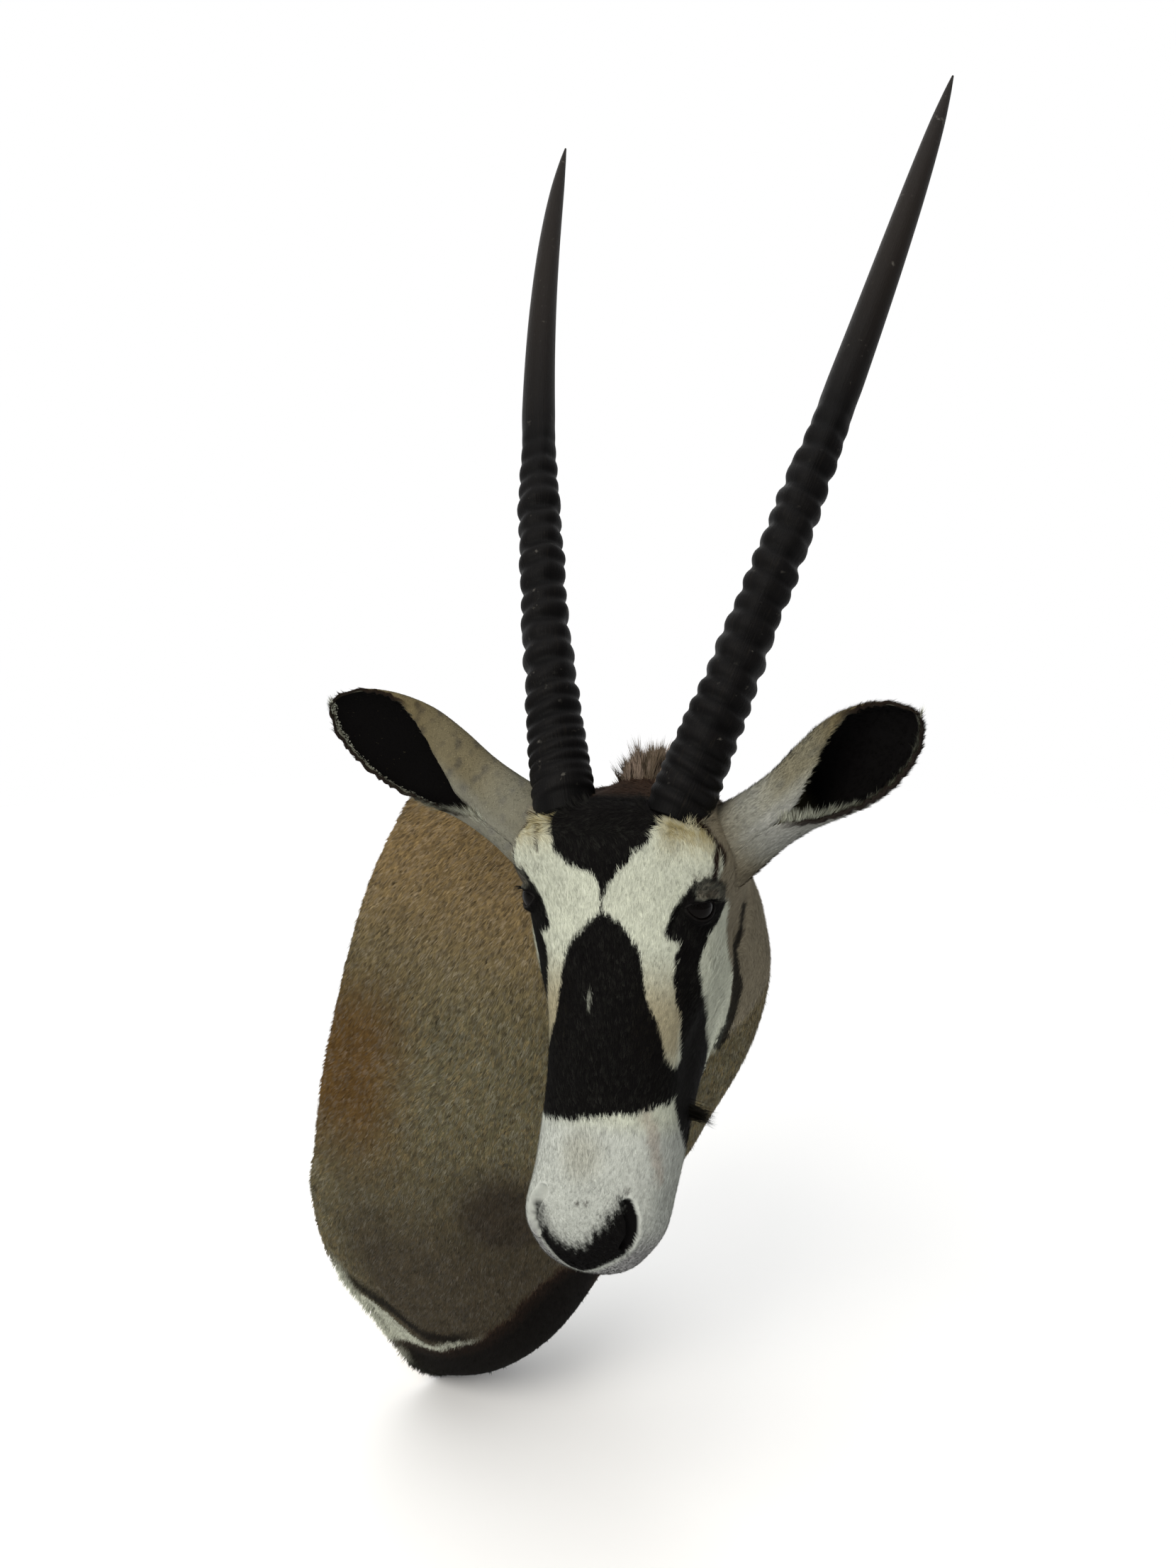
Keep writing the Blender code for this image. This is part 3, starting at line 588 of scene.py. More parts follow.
# The black brisket's edge: (place from the wall, its half width, the white hem's width beside it,
# and how far off a dark line runs)
BRISKET_EDGE = ((-26.5, 0.0, 0.0, 0.9), (-25.0, 3.4, 0.0, 0.9), (-23.5, 4.4, 0.0, 0.9),
                (-20.4, 6.2, 0.0, 0.9), (-17.8, 7.3, 0.1, 1.0), (-14.5, 7.8, 0.45, 1.1),
                (-11.4, 8.5, 0.65, 1.3), (-8.9, 8.7, 0.8, 2.1), (-7.7, 8.8, 0.85, 3.1),
                (-6.5, 8.9, 1.3, 4.3), (-5.5, 9.0, 2.2, 5.0), (-4.3, 9.1, 4.0, 5.6),
                (-3.5, 9.2, 4.9, 6.0), (-2.2, 9.3, 5.6, 7.1), (0.0, 9.6, 6.4, 8.5))
# The dark line over the eyelid's fold, (girth, place towards the nose)
LID_CROWN = ((8.1, 9.4), (8.8, 8.3), (9.6, 7.7), (10.7, 7.0), (12.0, 6.7), (13.4, 7.0))
# Stains and specks on the muzzle, (to the animal's left, place towards the nose)
LIP_STAIN = ((5.6, 27.2), (6.6, 28.6), (7.2, 30.4), (8.4, 32.4))
NOSE_SPECKS = ((-0.4, 35.2), (0.4, 35.0), (3.7, 33.6))
HORN_CRACK = ((-7.3, 2.4), (-7.0, 3.8), (-6.8, 5.2))
# Outlines on the eyelids, (angle along the slit, angle down)
LID_FOLD = ((-0.34, -0.53), (-0.38, -0.72), (-0.33, -0.86), (-0.17, -0.86), (0.23, -0.81), (0.70, -0.69),
            (1.19, -0.34), (1.37, -0.07), (0.45, -0.32), (-0.25, -0.44))


def line_distance(u, v, line):
    """Distance of each point (u, v) from a line."""
    return path_distance(np.stack([u, v], axis=1), line)


def polygon_depth(u, v, outline):
    """How deep each point (u, v) lies inside an outline; below 0 outside."""
    closed = [*outline, outline[0]]
    odd = np.zeros(len(u), bool)
    for (x0, y0), (x1, y1) in zip(closed, closed[1:]):
        if y1 != y0:
            odd ^= ((y0 > v) != (y1 > v)) & (u < (x1 - x0) * (v - y0) / (y1 - y0) + x0)
    nearest = line_distance(u, v, closed)
    return np.where(odd, nearest, -nearest)


def ripple(points, size, seed):
    """Soft irregular waves between about -1 and 1, of the given size in metres."""
    waves = np.random.default_rng(seed)
    total = np.zeros(len(points))
    for _ in range(7):
        way = unit(waves.normal(size=3))
        pace = 2 * np.pi / (size * waves.uniform(0.7, 1.6))
        total += np.sin(points @ way * pace + waves.uniform(0, 6.3))
    return total / 3.2


def ripples(points, size, seeds):
    """A ripple for each seed, side by side."""
    return np.stack([ripple(points, size, seed) for seed in seeds], axis=1)


def coat_shares(points):
    """Share of each hair colour at world points."""
    place = to_head(points) * 100
    side, nose, rise = place.T
    girth = np.abs(side) + np.maximum(-rise, 0)      # round the face from its middle line
    handed = np.where(side < 0, -girth, girth)
    wobble = 0.08 * ripple(points, 0.012, 3) + 0.05 * ripple(points, 0.005, 4)
    along_nose = nose + 0.10 * ripple(points, 0.008, 5)
    head = ease(nose, -4.0, -1.0) * ease(rise, -23.5, -21.5) * ease(np.abs(side), 12.6, 11.2)
    on_top = ease(rise, -24, -22) * ease(np.abs(side), 12.0, 11.2) * (nose > -5)

    def patch(outline, soft=0.10, both=True):
        around = girth if both else handed
        return ease(polygon_depth(around + wobble, along_nose, outline), -soft, soft) * on_top

    black = np.maximum(patch(FOREHEAD_PATCH, both=False), patch(NOSE_PATCH, both=False))
    scuff = ease(np.hypot((handed + 1.1) / 0.22, (nose - 18.1) / 1.0), 1.1, 0.5)
    black = black * (1 - 0.45 * scuff)
    stripe = patch(CHEEK_STRIPE)
    black = np.maximum(black, stripe)
    rear = line_distance(girth + wobble, along_nose, REAR_LINE)
    rear_wide = 0.75 + 0.30 * ease(nose, 12, 15)
    black = np.maximum(black, ease(rear, rear_wide, rear_wide - 0.3) * 0.92)
    white = patch(WHITE_FACE, 0.20)
    dark = 0.7 * ease(line_distance(girth + wobble, along_nose, EAR_LINE), 0.8, 0.2)

    rim = ease(polygon_depth(side, nose, NOSE_RIM), -0.10, 0.12)
    pad = polygon_depth(side + 2 * wobble, nose, NOSE_PAD) + 0.3 * ripple(points, 0.004, 16)
    fringe = ease(pad, 1.1, -0.3) * np.where(side < 0, ease(nose, 35.2, 36.0), ease(nose, 33.7, 34.3))
    black = np.maximum(black, rim * fringe * (rise > -6.2))
    lip = ease(polygon_depth(side, nose, NOSE_RIM), -0.05, -0.5) * ease(nose, 35.5, 39.5)
    lip = lip * ease(rise, -1.0, -2.2) * ease(rise, -14, -11) * (nose < 43)

    mirrored = folded(place) / 100
    along, down, reach = eye_angles(mirrored)
    upper, lower = lid_edges(along)
    edge = np.maximum(np.maximum(upper - 0.07 - down, down - lower - 0.18), np.abs(along) - SLIT_HALF - 0.20)
    near = reach < 0.040
    lid = ease(edge, 0.05, -0.03) * (reach < 0.030)
    black = np.maximum(black, np.maximum(lid, ease(path_distance(mirrored, TEAR), 0.0075, 0.0050)))
    flecks = 0.5 + 0.5 * ripple(points, 0.0035, 14)
    ragged = 0.12 * ripple(points, 0.006, 18)
    fold = ease(polygon_depth(along + ragged, down + 0.7 * ragged, LID_FOLD), -0.16, 0.30) * near
    dusty = fold * (0.30 + 0.70 * ease(flecks, 0.25, 0.75))
    wrinkled = 0.85 * fold * ease(ripple(points, 0.0045, 19), 0.15, 0.60)
    black = np.maximum(black * (1 - 0.85 * dusty), wrinkled)
    white = white * (1 - 0.9 * fold)
    pale_lid = dusty * ease(along, 0.25, -0.35)
    crown = ease(line_distance(girth, along_nose, LID_CROWN), 0.40, 0.12) * near
    black = np.maximum(black, 0.85 * crown)
    crack = np.minimum(path_distance(mirrored, BROW_CRACK), path_distance(mirrored, BROW_FOLD))
    brown = ease(crack, 0.0050, 0.0018)
    black = np.maximum(black, 0.5 * ease(crack, 0.0038, 0.0012))
    for spot_side, spot_nose in NOSE_SPECKS:
        speck = ease(np.hypot(side - spot_side, nose - spot_nose), 0.26, 0.10) * (rise > -4)
        brown = np.maximum(brown, 0.75 * speck)
    brown = np.maximum(brown, 0.9 * ease(line_distance(handed, nose, HORN_CRACK), 0.28, 0.05))
    brown = np.maximum(brown, 0.75 * stripe * ease(np.hypot(girth - 9.4, nose - 13.4), 2.0, 0.6))
    uneven = 0.65 + 0.35 * ease(ripple(points, 0.010, 15), -0.6, 0.6)
    # A painted shadow on the white of the muzzle, towards the animal's right, in the ochre hair colour
    muzzle_shadow = 0.22 * ease(np.hypot(handed + 0.8, nose - 31.2), 3.2, 0.6)
    ochre_and_shadow = white * np.maximum(ease(nose, 6.4, 2.5) * ease(girth, 4, 6) * uneven, muzzle_shadow)
    strip = white * ease(nose, 13, 19) * ease(nose, 25, 21) * ease(girth, 2.5, 4.5) * ease(girth, 11, 9.5)
    stained = line_distance(handed + 0.3 * ripple(points, 0.012, 20), nose, LIP_STAIN)
    pink = 0.42 * ease(stained, 1.2, 0.2) * white

    # The neck, by its place in the world
    x, y, z = (points * 100).T
    skull = ease(nose + 0.5 * wobble, -0.1, -1.1) * ease(z, 39.5, 41.5) * ease(np.abs(side), 9.5, 7.5)
    under = ease(nose, 0.2, -0.3) * ease(z, 39.5, 41.5) * ease(np.abs(side), 6.5, 5.0)
    brown = np.maximum(brown, np.maximum(0.88 * skull, 0.95 * under))
    black = black * (1 - 0.8 * skull)
    # Darker towards the bottom of the neck, away from the wall: partly a greyer coat, partly the shade under
    # the neck painted into its colour
    dark = np.maximum(dark, 0.88 * ease(z, 4, -16) * ease(y, 0, -8))
    shoulder_spot = np.sqrt((np.abs(x) - 10.5) ** 2 + (y + 23.3) ** 2 + (z + 8.2) ** 2)
    dark = np.maximum(dark, ease(shoulder_spot, 10.5, 3.0))
    black = np.maximum(black, 0.20 * ease(shoulder_spot, 9.5, 2.0))
    russet = ease(y, -18, -7) * ease(z, -8, 4) * ease(z, 22, 10) * 0.9
    places, *edges_at = zip(*BRISKET_EDGE)
    half, hem_wide, line_off = (np.interp(y, places, values) for values in edges_at)
    out = np.abs(x) - half + 0.15 * ripple(points, 0.03, 8) + 0.10 * ripple(points, 0.006, 9)
    low = ease(z, -13, -16)
    brisket = ease(out, 0.15, -0.35) * low
    hem = ease(out, -0.15, 0.15) * ease(out - hem_wide, 0.25, -0.20) * low * ease(y, -17, -13)
    edge = ease(np.abs(out - line_off), 0.7 + 0.9 * ease(y, -13, -6), 0.3) * low * ease(y, -17, -12)
    turned_edge = ease(y, -2.2, -1.2) * ease(z, -17, -20) * ease(z, -37, -34)
    brown = np.maximum(brown, 0.8 * ease(out, -2.2, -0.6) * ease(out, 0.5, 0.0) * low)
    black = np.maximum(black, np.maximum((0.95 - 0.3 * ease(out, -1.8, -0.4)) * brisket, 0.85 * edge))
    black = black * (1 - turned_edge)
    white = np.maximum(white, np.maximum(hem * 0.75, 0.9 * turned_edge))
    return {"tan": ease(z, 12, 34) * (1 - head), "dark": dark, "russet": russet, "taupe": head * (1 - white),
            "white": white, "muzzle": white * ease(nose, 27.5, 29.5) * on_top, "ochre_and_shadow": ochre_and_shadow,
            "strip": strip, "pink": pink, "lip": lip, "dusty": 0.9 * dusty, "pale": 0.6 * pale_lid,
            "brown": brown, "black": black}


def put_shares(mesh, shares):
    """Keeps named values at a mesh's points."""
    for name, values in shares.items():
        layer = mesh.attributes.get(name) or mesh.attributes.new(name, "FLOAT", "POINT")
        layer.data.foreach_set("value", values.astype(np.float32))


# Short hair: soft and nearly matt, lighter at each tip, in patches and specks, and no two hairs are
# quite alike. A real hair is about 0.06 mm thick, so each strand stands for a wisp, 0.4 to 1.5 mm wide.
HAIR_COLOURS = (("tan", "#6f5d3e"), ("dark", "#342e25"), ("russet", "#4a3619"), ("taupe", "#6c6555"),
                ("white", "#a9ac9d"), ("muzzle", "#a0a39c"), ("ochre_and_shadow", "#7d7453"), ("strip", "#8f8870"),
                ("pink", "#857568"), ("lip", "#7f7f7e"), ("dusty", "#4f443b"), ("pale", "#8a877a"),
                ("brown", "#24160f"), ("black", "#070606"))
FAWN = "#534e3a"
MEAN_SHADE = 0.15
hair, tree, shader = new_material("short_body_hair")
colour = add_node(tree, "RGB")
colour.default_value = linear(FAWN)
for name, tint in HAIR_COLOURS:
    share = add_node(tree, "Attribute", out="Fac", attribute_name=name)
    colour = add_node(tree, "Mix", {0: share, 6: colour, 7: linear(tint)}, clamp_factor=True, **COLOUR_MIX)
spot = add_node(tree, "TexCoord", out="Object")
patches = add_node(tree, "TexNoise", {"Vector": spot, "Scale": 28.0, "Detail": 4.0, "Roughness": 0.6})
fine = add_node(tree, "TexNoise", {"Vector": spot, "Scale": 420.0, "Detail": 3.0})
shade = add_node(tree, "Attribute", out="Fac", attribute_name="shade")
tip = add_node(tree, "Attribute", out="Fac", attribute_name="tip")
light = 0.66                           # how light the hair is, the sum of these shares
for source, weight in ((shade, 0.55), (tip, 0.22), (patches, 0.36), (fine, 0.14)):
    light = add_node(tree, "Math", {0: source, 1: weight, 2: light}, operation="MULTIPLY_ADD")
shaded = add_node(tree, "Mix", {0: 1.0, 6: colour, 7: light}, blend_type="MULTIPLY", **COLOUR_MIX)
bumps = add_node(tree, "Bump", {"Height": fine, "Strength": 0.25, "Distance": 0.001})
tree.links.new(shaded, shader.inputs["Base Color"])
tree.links.new(bumps, shader.inputs["Normal"])
shader.inputs["Roughness"].default_value = 0.85
shader.inputs["Specular IOR Level"].default_value = 0.05

put_shares(skin_mesh, {**coat_shares(mesh_arrays(skin_mesh)[0]),
                       "shade": np.full(len(skin_mesh.vertices), MEAN_SHADE)})
skin_mesh.materials.clear()
skin_mesh.materials.append(hair)
skin_mesh.shade_smooth()
skin = link_mesh("skin", skin_mesh)
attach(skin, "root")
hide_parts("hide")

# ---- Coat: the hair itself --------------------------------------------------------------------------
# Hair 4 to 7 mm long lies up the face, away from the nose. On the neck it is 8 to 14 mm long and lies
# down and back, towards the shoulder. The corners of the mouth have a tuft each.

FACE_STRANDS = 168000
FACE_LENGTHS, FACE_WIDTHS = (0.0042, 0.0075), (0.0004, 0.0007)
NECK_STRANDS = 168000                  # in each of the pieces
NECK_PIECES = 2
NECK_LENGTHS, NECK_WIDTHS = (0.008, 0.014), (0.0009, 0.0015)
NECK_FLOW = (0.0, 0.22, -0.68)
TUFT_STRANDS = 460
TUFT_PLACE, TUFT_REACH = np.array((0.0600, 0.272, -0.093)), 0.0040
TUFT_LENGTHS, TUFT_WIDTHS = (0.010, 0.029), (0.0005, 0.0009)
COLOUR_STRAY = 0.0009                  # how far hairs of one colour stray into the next
SHADE_SPREAD = 0.26                    # how much strands differ
ROOT_DEPTH = 0.0003
HORN_HOLE, HORN_BARE = (0.0575, -0.003, -0.018), 0.0275


def hair_flow(points):
    """Unit direction in which the hair lies."""
    place = to_head(points)
    up_face = -HEAD_TURNED[:, 1]
    down_neck = unit(np.array((0.0, 0.42, -1.0)))
    neck = ease(place[:, 1], 0.10, -0.03) + ease(place[:, 2], -0.10, -0.17) * ease(place[:, 1], 0.34, 0.20)
    neck = np.clip(neck, 0, 1)[:, None]
    return unit(up_face * (1 - neck) + down_neck * neck + 0.10 * ripples(points, 0.09, (11, 12, 13)))


def triangles_of(mesh):
    """Corner points, areas, smooth normals and corner indices of a mesh's triangles."""
    mesh.calc_loop_triangles()
    corner = np.empty(len(mesh.loop_triangles) * 3, np.int32)
    mesh.loop_triangles.foreach_get("vertices", corner)
    corner = corner.reshape(-1, 3)
    points, _, normals = mesh_arrays(mesh)
    a, b, c = points[corner[:, 0]], points[corner[:, 1]], points[corner[:, 2]]
    area = np.linalg.norm(np.cross(b - a, c - a), axis=1) / 2
    return np.stack([a, b, c], axis=1), area, normals[corner], corner


def strand_roots(mesh, count, wanted, seed, layers=None):
    """Random points on a mesh, their normals, the generator and the layers' values there.
    wanted says how dense the points are, from a place or for each point of the mesh."""
    count //= 1
    rng = np.random.default_rng(seed)
    corners, area, normals, index = triangles_of(mesh)
    weight = area * (wanted(corners.mean(axis=1)) if callable(wanted) else wanted[index].mean(axis=1))
    pick = rng.choice(len(area), count, p=weight / weight.sum())
    u, v = rng.random(count), rng.random(count)
    flip = u + v > 1
    u, v = np.where(flip, 1 - u, u), np.where(flip, 1 - v, v)
    shares = np.stack([1 - u - v, u, v], axis=1)
    normal = unit((normals[pick] * shares[:, :, None]).sum(axis=1))
    roots = (corners[pick] * shares[:, :, None]).sum(axis=1)
    there = {key: (values[index[pick]] * shares).sum(axis=1) for key, values in (layers or {}).items()}
    return roots, normal, rng, there


def gather(roots, ways, lengths, rng, size, pull):
    """Draws strands together in locks of about a size; gives their new ways, lengths and locks."""
    heads = rng.choice(len(roots), max(len(roots) // size, 1), replace=False)
    tree = KDTree(len(heads))
    for number, head in enumerate(heads):
        tree.insert(roots[head], number)
    tree.balance()
    lock = np.array([tree.find(root)[1] for root in roots])
    tips = ways * lengths[:, None]
    drawn = (pull * rng.uniform(0.3, 1, len(roots)))[:, None]
    tips += (roots[heads[lock]] + tips[heads[lock]] - roots - tips) * drawn
    lengths = np.linalg.norm(tips, axis=1)
    return tips / lengths[:, None], lengths, lock


def strand_piece(name, roots, normals, ways, lengths, widths, rng, shares, lock=None, mottle=0.2, bend=None):
    """One mesh of flat strands: a triangle each, or with a bend a strip and a triangle. widths are the
    least and the most, and mottle is how much the locks differ."""
    across = unit(np.cross(ways, normals))
    half = across * rng.uniform(*widths, len(roots))[:, None] / 2
    sunk = roots - normals * ROOT_DEPTH
    levels = [sunk - half, sunk + half]
    if bend is not None:
        middle = roots + ways * lengths[:, None] * 0.5
        levels += [middle - half * 0.8, middle + half * 0.8, middle + (ways + bend) * lengths[:, None] * 0.5]
    else:
        levels += [roots + ways * lengths[:, None]]
    corners = np.stack(levels, axis=1)
    corners[..., 1] = np.minimum(corners[..., 1], 0.0)    # none goes into the wall
    count, each = corners.shape[:2]
    pattern = (0, 1, 2) if each == 3 else (0, 1, 3, 2, 2, 3, 4)
    loops = (np.arange(count)[:, None] * each + np.array(pattern)).ravel()
    starts = np.arange(count)[:, None] * len(pattern) + np.array((0,) if each == 3 else (0, 4))
    mesh = bpy.data.meshes.new(name)
    mesh.vertices.add(count * each)
    mesh.vertices.foreach_set("co", corners.astype(np.float32).ravel())
    mesh.loops.add(len(loops))
    mesh.loops.foreach_set("vertex_index", loops.astype(np.int32))
    mesh.polygons.add(starts.size)
    mesh.polygons.foreach_set("loop_start", starts.ravel().astype(np.int32))
    mesh.update(calc_edges=True)
    mesh.shade_smooth()
    own = np.cross(across, ways)
    own *= np.sign((own * normals).sum(axis=1))[:, None]
    soft = unit(0.72 * normals + 0.28 * own)         # light falls on it much as on the skin below
    mesh.normals_split_custom_set_from_vertices(np.repeat(soft, each, axis=0).tolist())
    shade = MEAN_SHADE + 0.15 * ripple(roots, 0.030, 17) + rng.normal(0, SHADE_SPREAD, count)
    if lock is not None:
        shade += rng.normal(0, mottle, lock.max() + 1)[lock]
    shares = {**shares, "shade": np.clip(shade, -0.9, 1.2)}
    put_shares(mesh, {key: np.repeat(value, each) for key, value in shares.items()})
    put_shares(mesh, {"tip": np.tile((0.0, 0.0, 1.0) if each == 3 else (0.0, 0.0, 0.4, 0.4, 1.0), count)})
    mesh.materials.append(hair)
    item = link_mesh(name, mesh)
    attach(item, "root")


def lay_down(normals, flow, rise, rng, spread, astray=0.0):
    """Directions that lie along the skin with the flow, raised by an angle, each a little off it.
    A share of them goes astray and stands up."""
    flow = flow + rng.normal(0, spread, flow.shape)
    flow = unit(flow - normals * (flow * normals).sum(axis=1)[:, None])
    angle = np.clip(rng.normal(rise, rise * 0.35, len(flow)), 0.04, 1.2)
    angle = np.where(rng.random(len(flow)) < astray, rng.uniform(0.5, 1.1, len(flow)), angle)[:, None]
    return flow * np.cos(angle) + normals * np.sin(angle)


def is_face(points):
    """Whether the face's hair covers each point, and not the neck's."""
    place = to_head(points)
    return (place[:, 1] > 0.0) & (place[:, 2] > -0.215) & (np.abs(place[:, 0]) < 0.116)


def face_density(points):
    """How dense the face's hair is: none in the eyes, the nostrils and the horns' holes."""
    place = to_head(points)
    mirrored = folded(place)
    along, down, reach = eye_angles(mirrored)
    upper, lower = lid_edges(along)
    open_eye = (np.abs(along) < SLIT_HALF + 0.05) & (down > upper - 0.08) & (down < lower + 0.08)
    bare = open_eye & (reach < 0.03) | (path_distance(mirrored, NOSTRIL) < 0.007)
    bare |= np.linalg.norm(mirrored - HORN_HOLE, axis=1) < HORN_BARE
    return is_face(points) * ~bare * (1.0 + 0.8 * (place[:, 1] > 0.33))


def neck_density(points):
    """How dense the neck's hair is: even, outside the face."""
    return (~is_face(points)).astype(float)


roots, normals, rng, _ = strand_roots(skin_mesh, FACE_STRANDS, face_density, 21)
count = len(roots)
place = to_head(roots)
by_horn = ease(np.linalg.norm(folded(place) - HORN_HOLE, axis=1), 0.037, 0.030)
ways = lay_down(normals, hair_flow(roots), 0.26, rng, 0.20, 0.004)
ways = unit(ways + by_horn[:, None] * (0.6 * normals - 0.5 * HEAD_TURNED[:, 1]))
shorter = 0.45 * ease(place[:, 1], 0.30, 0.36)
lengths = rng.uniform(*FACE_LENGTHS, count) * (1 - shorter) * (1 + 0.9 * by_horn)
ways, lengths, lock = gather(roots, ways, lengths, rng, 7, 0.6)
shares = coat_shares(roots + rng.normal(0, COLOUR_STRAY, roots.shape))
# Some locks and strands in the black are a little lighter: a painted sheen, the highlight on black hair put
# into its colour
painted_sheen = 0.016 * rng.random(lock.max() + 1)[lock] ** 2 + 0.008 * rng.random(count) ** 2
shares["black"] = shares["black"] * (1 - painted_sheen)
strand_piece("face_hair", roots, normals, ways, lengths, FACE_WIDTHS, rng, shares, lock)
for number in range(NECK_PIECES):
    roots, normals, rng, _ = strand_roots(skin_mesh, NECK_STRANDS, neck_density, 31 + number)
    count = len(roots)
    ways = lay_down(normals, 0.3 * hair_flow(roots) + NECK_FLOW, 0.22, rng, 0.11, 0.010)
    # Pale longer hair fluffs out where the low edge of the hide was turned over
    fluff = ease(roots[:, 1], -0.026, -0.012) * ease(roots[:, 2], -0.16, -0.21) * (rng.random(count) < 0.8)
    ways = unit(ways + fluff[:, None] * (0.7 * normals + (0.0, 0.0, -0.2) + rng.normal(0, 0.25, (count, 3))))
    normals = unit(normals + fluff[:, None] * (0.0, -0.5, 1.3))      # light shines through these
    shorter = 0.4 * ease(to_head(roots)[:, 1], -0.06, 0.02)
    lengths = rng.uniform(*NECK_LENGTHS, count) * (1 - shorter) * (1 + 0.6 * fluff)
    ways, lengths, lock = gather(roots, ways, lengths, rng, 4, 0.6)
    shares = coat_shares(roots + rng.normal(0, COLOUR_STRAY, roots.shape))
    # Locks are greyer, tanner or darker by turns, where the coat is neither black nor white
    mood = rng.random(lock.max() + 1)[lock]
    plain = 1 - np.maximum(shares["black"], shares["white"])
    shares["lip"] = np.maximum(shares["lip"], 0.13 * plain * (1 - 0.55 * shares["dark"]) * (mood < 0.3))
    shares["tan"] = np.maximum(shares["tan"], 0.3 * plain * (mood > 0.75))
    shares["dark"] = np.maximum(shares["dark"], 0.6 * plain * (np.abs(mood - 0.5) < 0.12))
    shares["white"] = np.maximum(shares["white"], 0.9 * fluff)
    shares["black"] = shares["black"] * (1 - 0.95 * fluff * ease(roots[:, 2], -0.36, -0.33))
    strand_piece(f"neck_hair_{number + 1}", roots, normals, ways, lengths, NECK_WIDTHS, rng, shares, lock,
                 mottle=0.36)

# A tuft of longer dark hair at the corner of the mouth, on each side
for name, hand in (("left", 1.0), ("right", -1.0)):

    def tuft_density(points):
        """How dense the tuft is, round the corner of the mouth."""
        away = np.linalg.norm(to_head(points) - TUFT_PLACE * (hand, 1, 1), axis=1)
        return np.exp(-(away / TUFT_REACH) ** 2)

    roots, normals, rng, _ = strand_roots(skin_mesh, TUFT_STRANDS, tuft_density, 35)
    count = len(roots)
    ways = unit(0.5 * normals + HEAD_TURNED @ (hand, 0.45, -0.30) + rng.normal(0, 0.24, (count, 3)))
    ways, lengths, lock = gather(roots, ways, rng.uniform(*TUFT_LENGTHS, count), rng, 14, 0.8)
    strand_piece(f"{name}_mouth_tuft", roots, normals, ways, lengths, TUFT_WIDTHS, rng,
                 {"black": np.full(count, 0.92)}, lock)

# ---- Mane --------------------------------------------------------------------------------------------
# A crest of stiff upright hair along the top of the neck, low at the shoulder and tallest behind the
# horns, where brown and pinkish locks mix. It stands on a low ridge of the skin.

# (neck section, rise, half width)
MANE_SECTIONS = ((0.0, 0.014, 0.012), (2.0, 0.016, 0.014), (4.0, 0.018, 0.016), (5.5, 0.020, 0.018),
                 (6.5, 0.038, 0.019), (7.2, 0.063, 0.018), (8.0, 0.064, 0.017), (8.6, 0.050, 0.015),
                 (9.0, 0.033, 0.012))
MANE_STRANDS = 20000
MANE_WIDTHS = (0.0009, 0.0015)
MANE_TALLEST = 0.060
MANE_CORE = 0.40                       # of the rise
RIDGE_RINGS, RIDGE_SIDES = 70, 20
RIDGE_FOOT = -0.012                    # under the skin
MANE_CLEAR = 0.012                     # from the wall
WORLD_UP = np.array((0.0, 0.0, 1.0))


def interp_rows(at, places, rows):
    """Rows of values at new places."""
    return np.stack([np.interp(at, places, column) for column in rows.T], axis=1)


rings = []
turn = full_turn(RIDGE_SIDES)
ring_places = np.linspace(0, MANE_SECTIONS[-1][0], RIDGE_RINGS)
for place in ring_places:
    rise, half = between(MANE_SECTIONS, place)
    top, _, side, *_ = neck_section(place)
    low, high = RIDGE_FOOT, rise * MANE_CORE
    rings.append(top + np.outer((low + high) / 2 + (high - low) / 2 * np.cos(turn), WORLD_UP)
                 + np.outer(0.8 * half * np.sin(turn), side))
core_points, core_faces = join_rings(rings)
core_points[:, 1] = np.minimum(core_points[:, 1], BACK_CUT)
core = mesh_object("mane_ridge", core_points, core_faces)
core.data.materials.append(hair)
tall = ease(np.repeat(ring_places, RIDGE_SIDES), 4.5, 7.0)
put_shares(core.data, {"brown": 0.35 + 0.50 * tall, "tan": 0.8 * (1 - tall)})
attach(core, "root")

count = MANE_STRANDS // 1
rng = np.random.default_rng(41)
place = MANE_SECTIONS[-1][0] * rng.random(count) ** 0.75
spots = np.linspace(0, MANE_SECTIONS[-1][0], 91)
ridge_line = []
for spot in spots:
    rise, half = between(MANE_SECTIONS, spot)
    top, _, side, *_ = neck_section(spot)
    ridge_line.append((*top, rise, half, *side))
ridge_line = np.array(ridge_line)
at = interp_rows(place, spots, ridge_line)
top_at, rise, half, sideways = at[:, :3], at[:, 3], at[:, 4], at[:, 5:8]
offset = rng.uniform(-1, 1, count)
roots = top_at + sideways * (offset * half * 0.95)[:, None]
roots[:, 2] += rise * MANE_CORE * np.sqrt(1 - 0.9 * offset**2) * 0.8 - 0.004
onward = unit(interp_rows(place, spots, np.gradient(ridge_line[:, :3], spots, axis=0)))
clump = np.column_stack([ripples(roots, 0.012, (43, 44)), 0 * place])
leaning = -0.35 + 0.5 * ease(place, 6.4, 8.2)
ways = unit(WORLD_UP + sideways * (0.35 * offset)[:, None] + onward * leaning[:, None]
            + 0.16 * clump + rng.normal(0, 0.13, (count, 3)))
# A few hairs in each lock outgrow the rest
left_to_top = np.maximum(top_at[:, 2] + rise - roots[:, 2], 0.008)
outgrown = rng.uniform(0.50, 1.00, count) ** np.where(rng.random(count) < 0.06, -0.4, 1)
lengths = np.minimum(left_to_top, MANE_TALLEST) * outgrown * (1 - 0.3 * np.abs(offset) ** 2)
roots[:, 1] = np.minimum(roots[:, 1], -MANE_CLEAR)
bend = onward * -0.18 + rng.normal(0, 0.10, (count, 3))
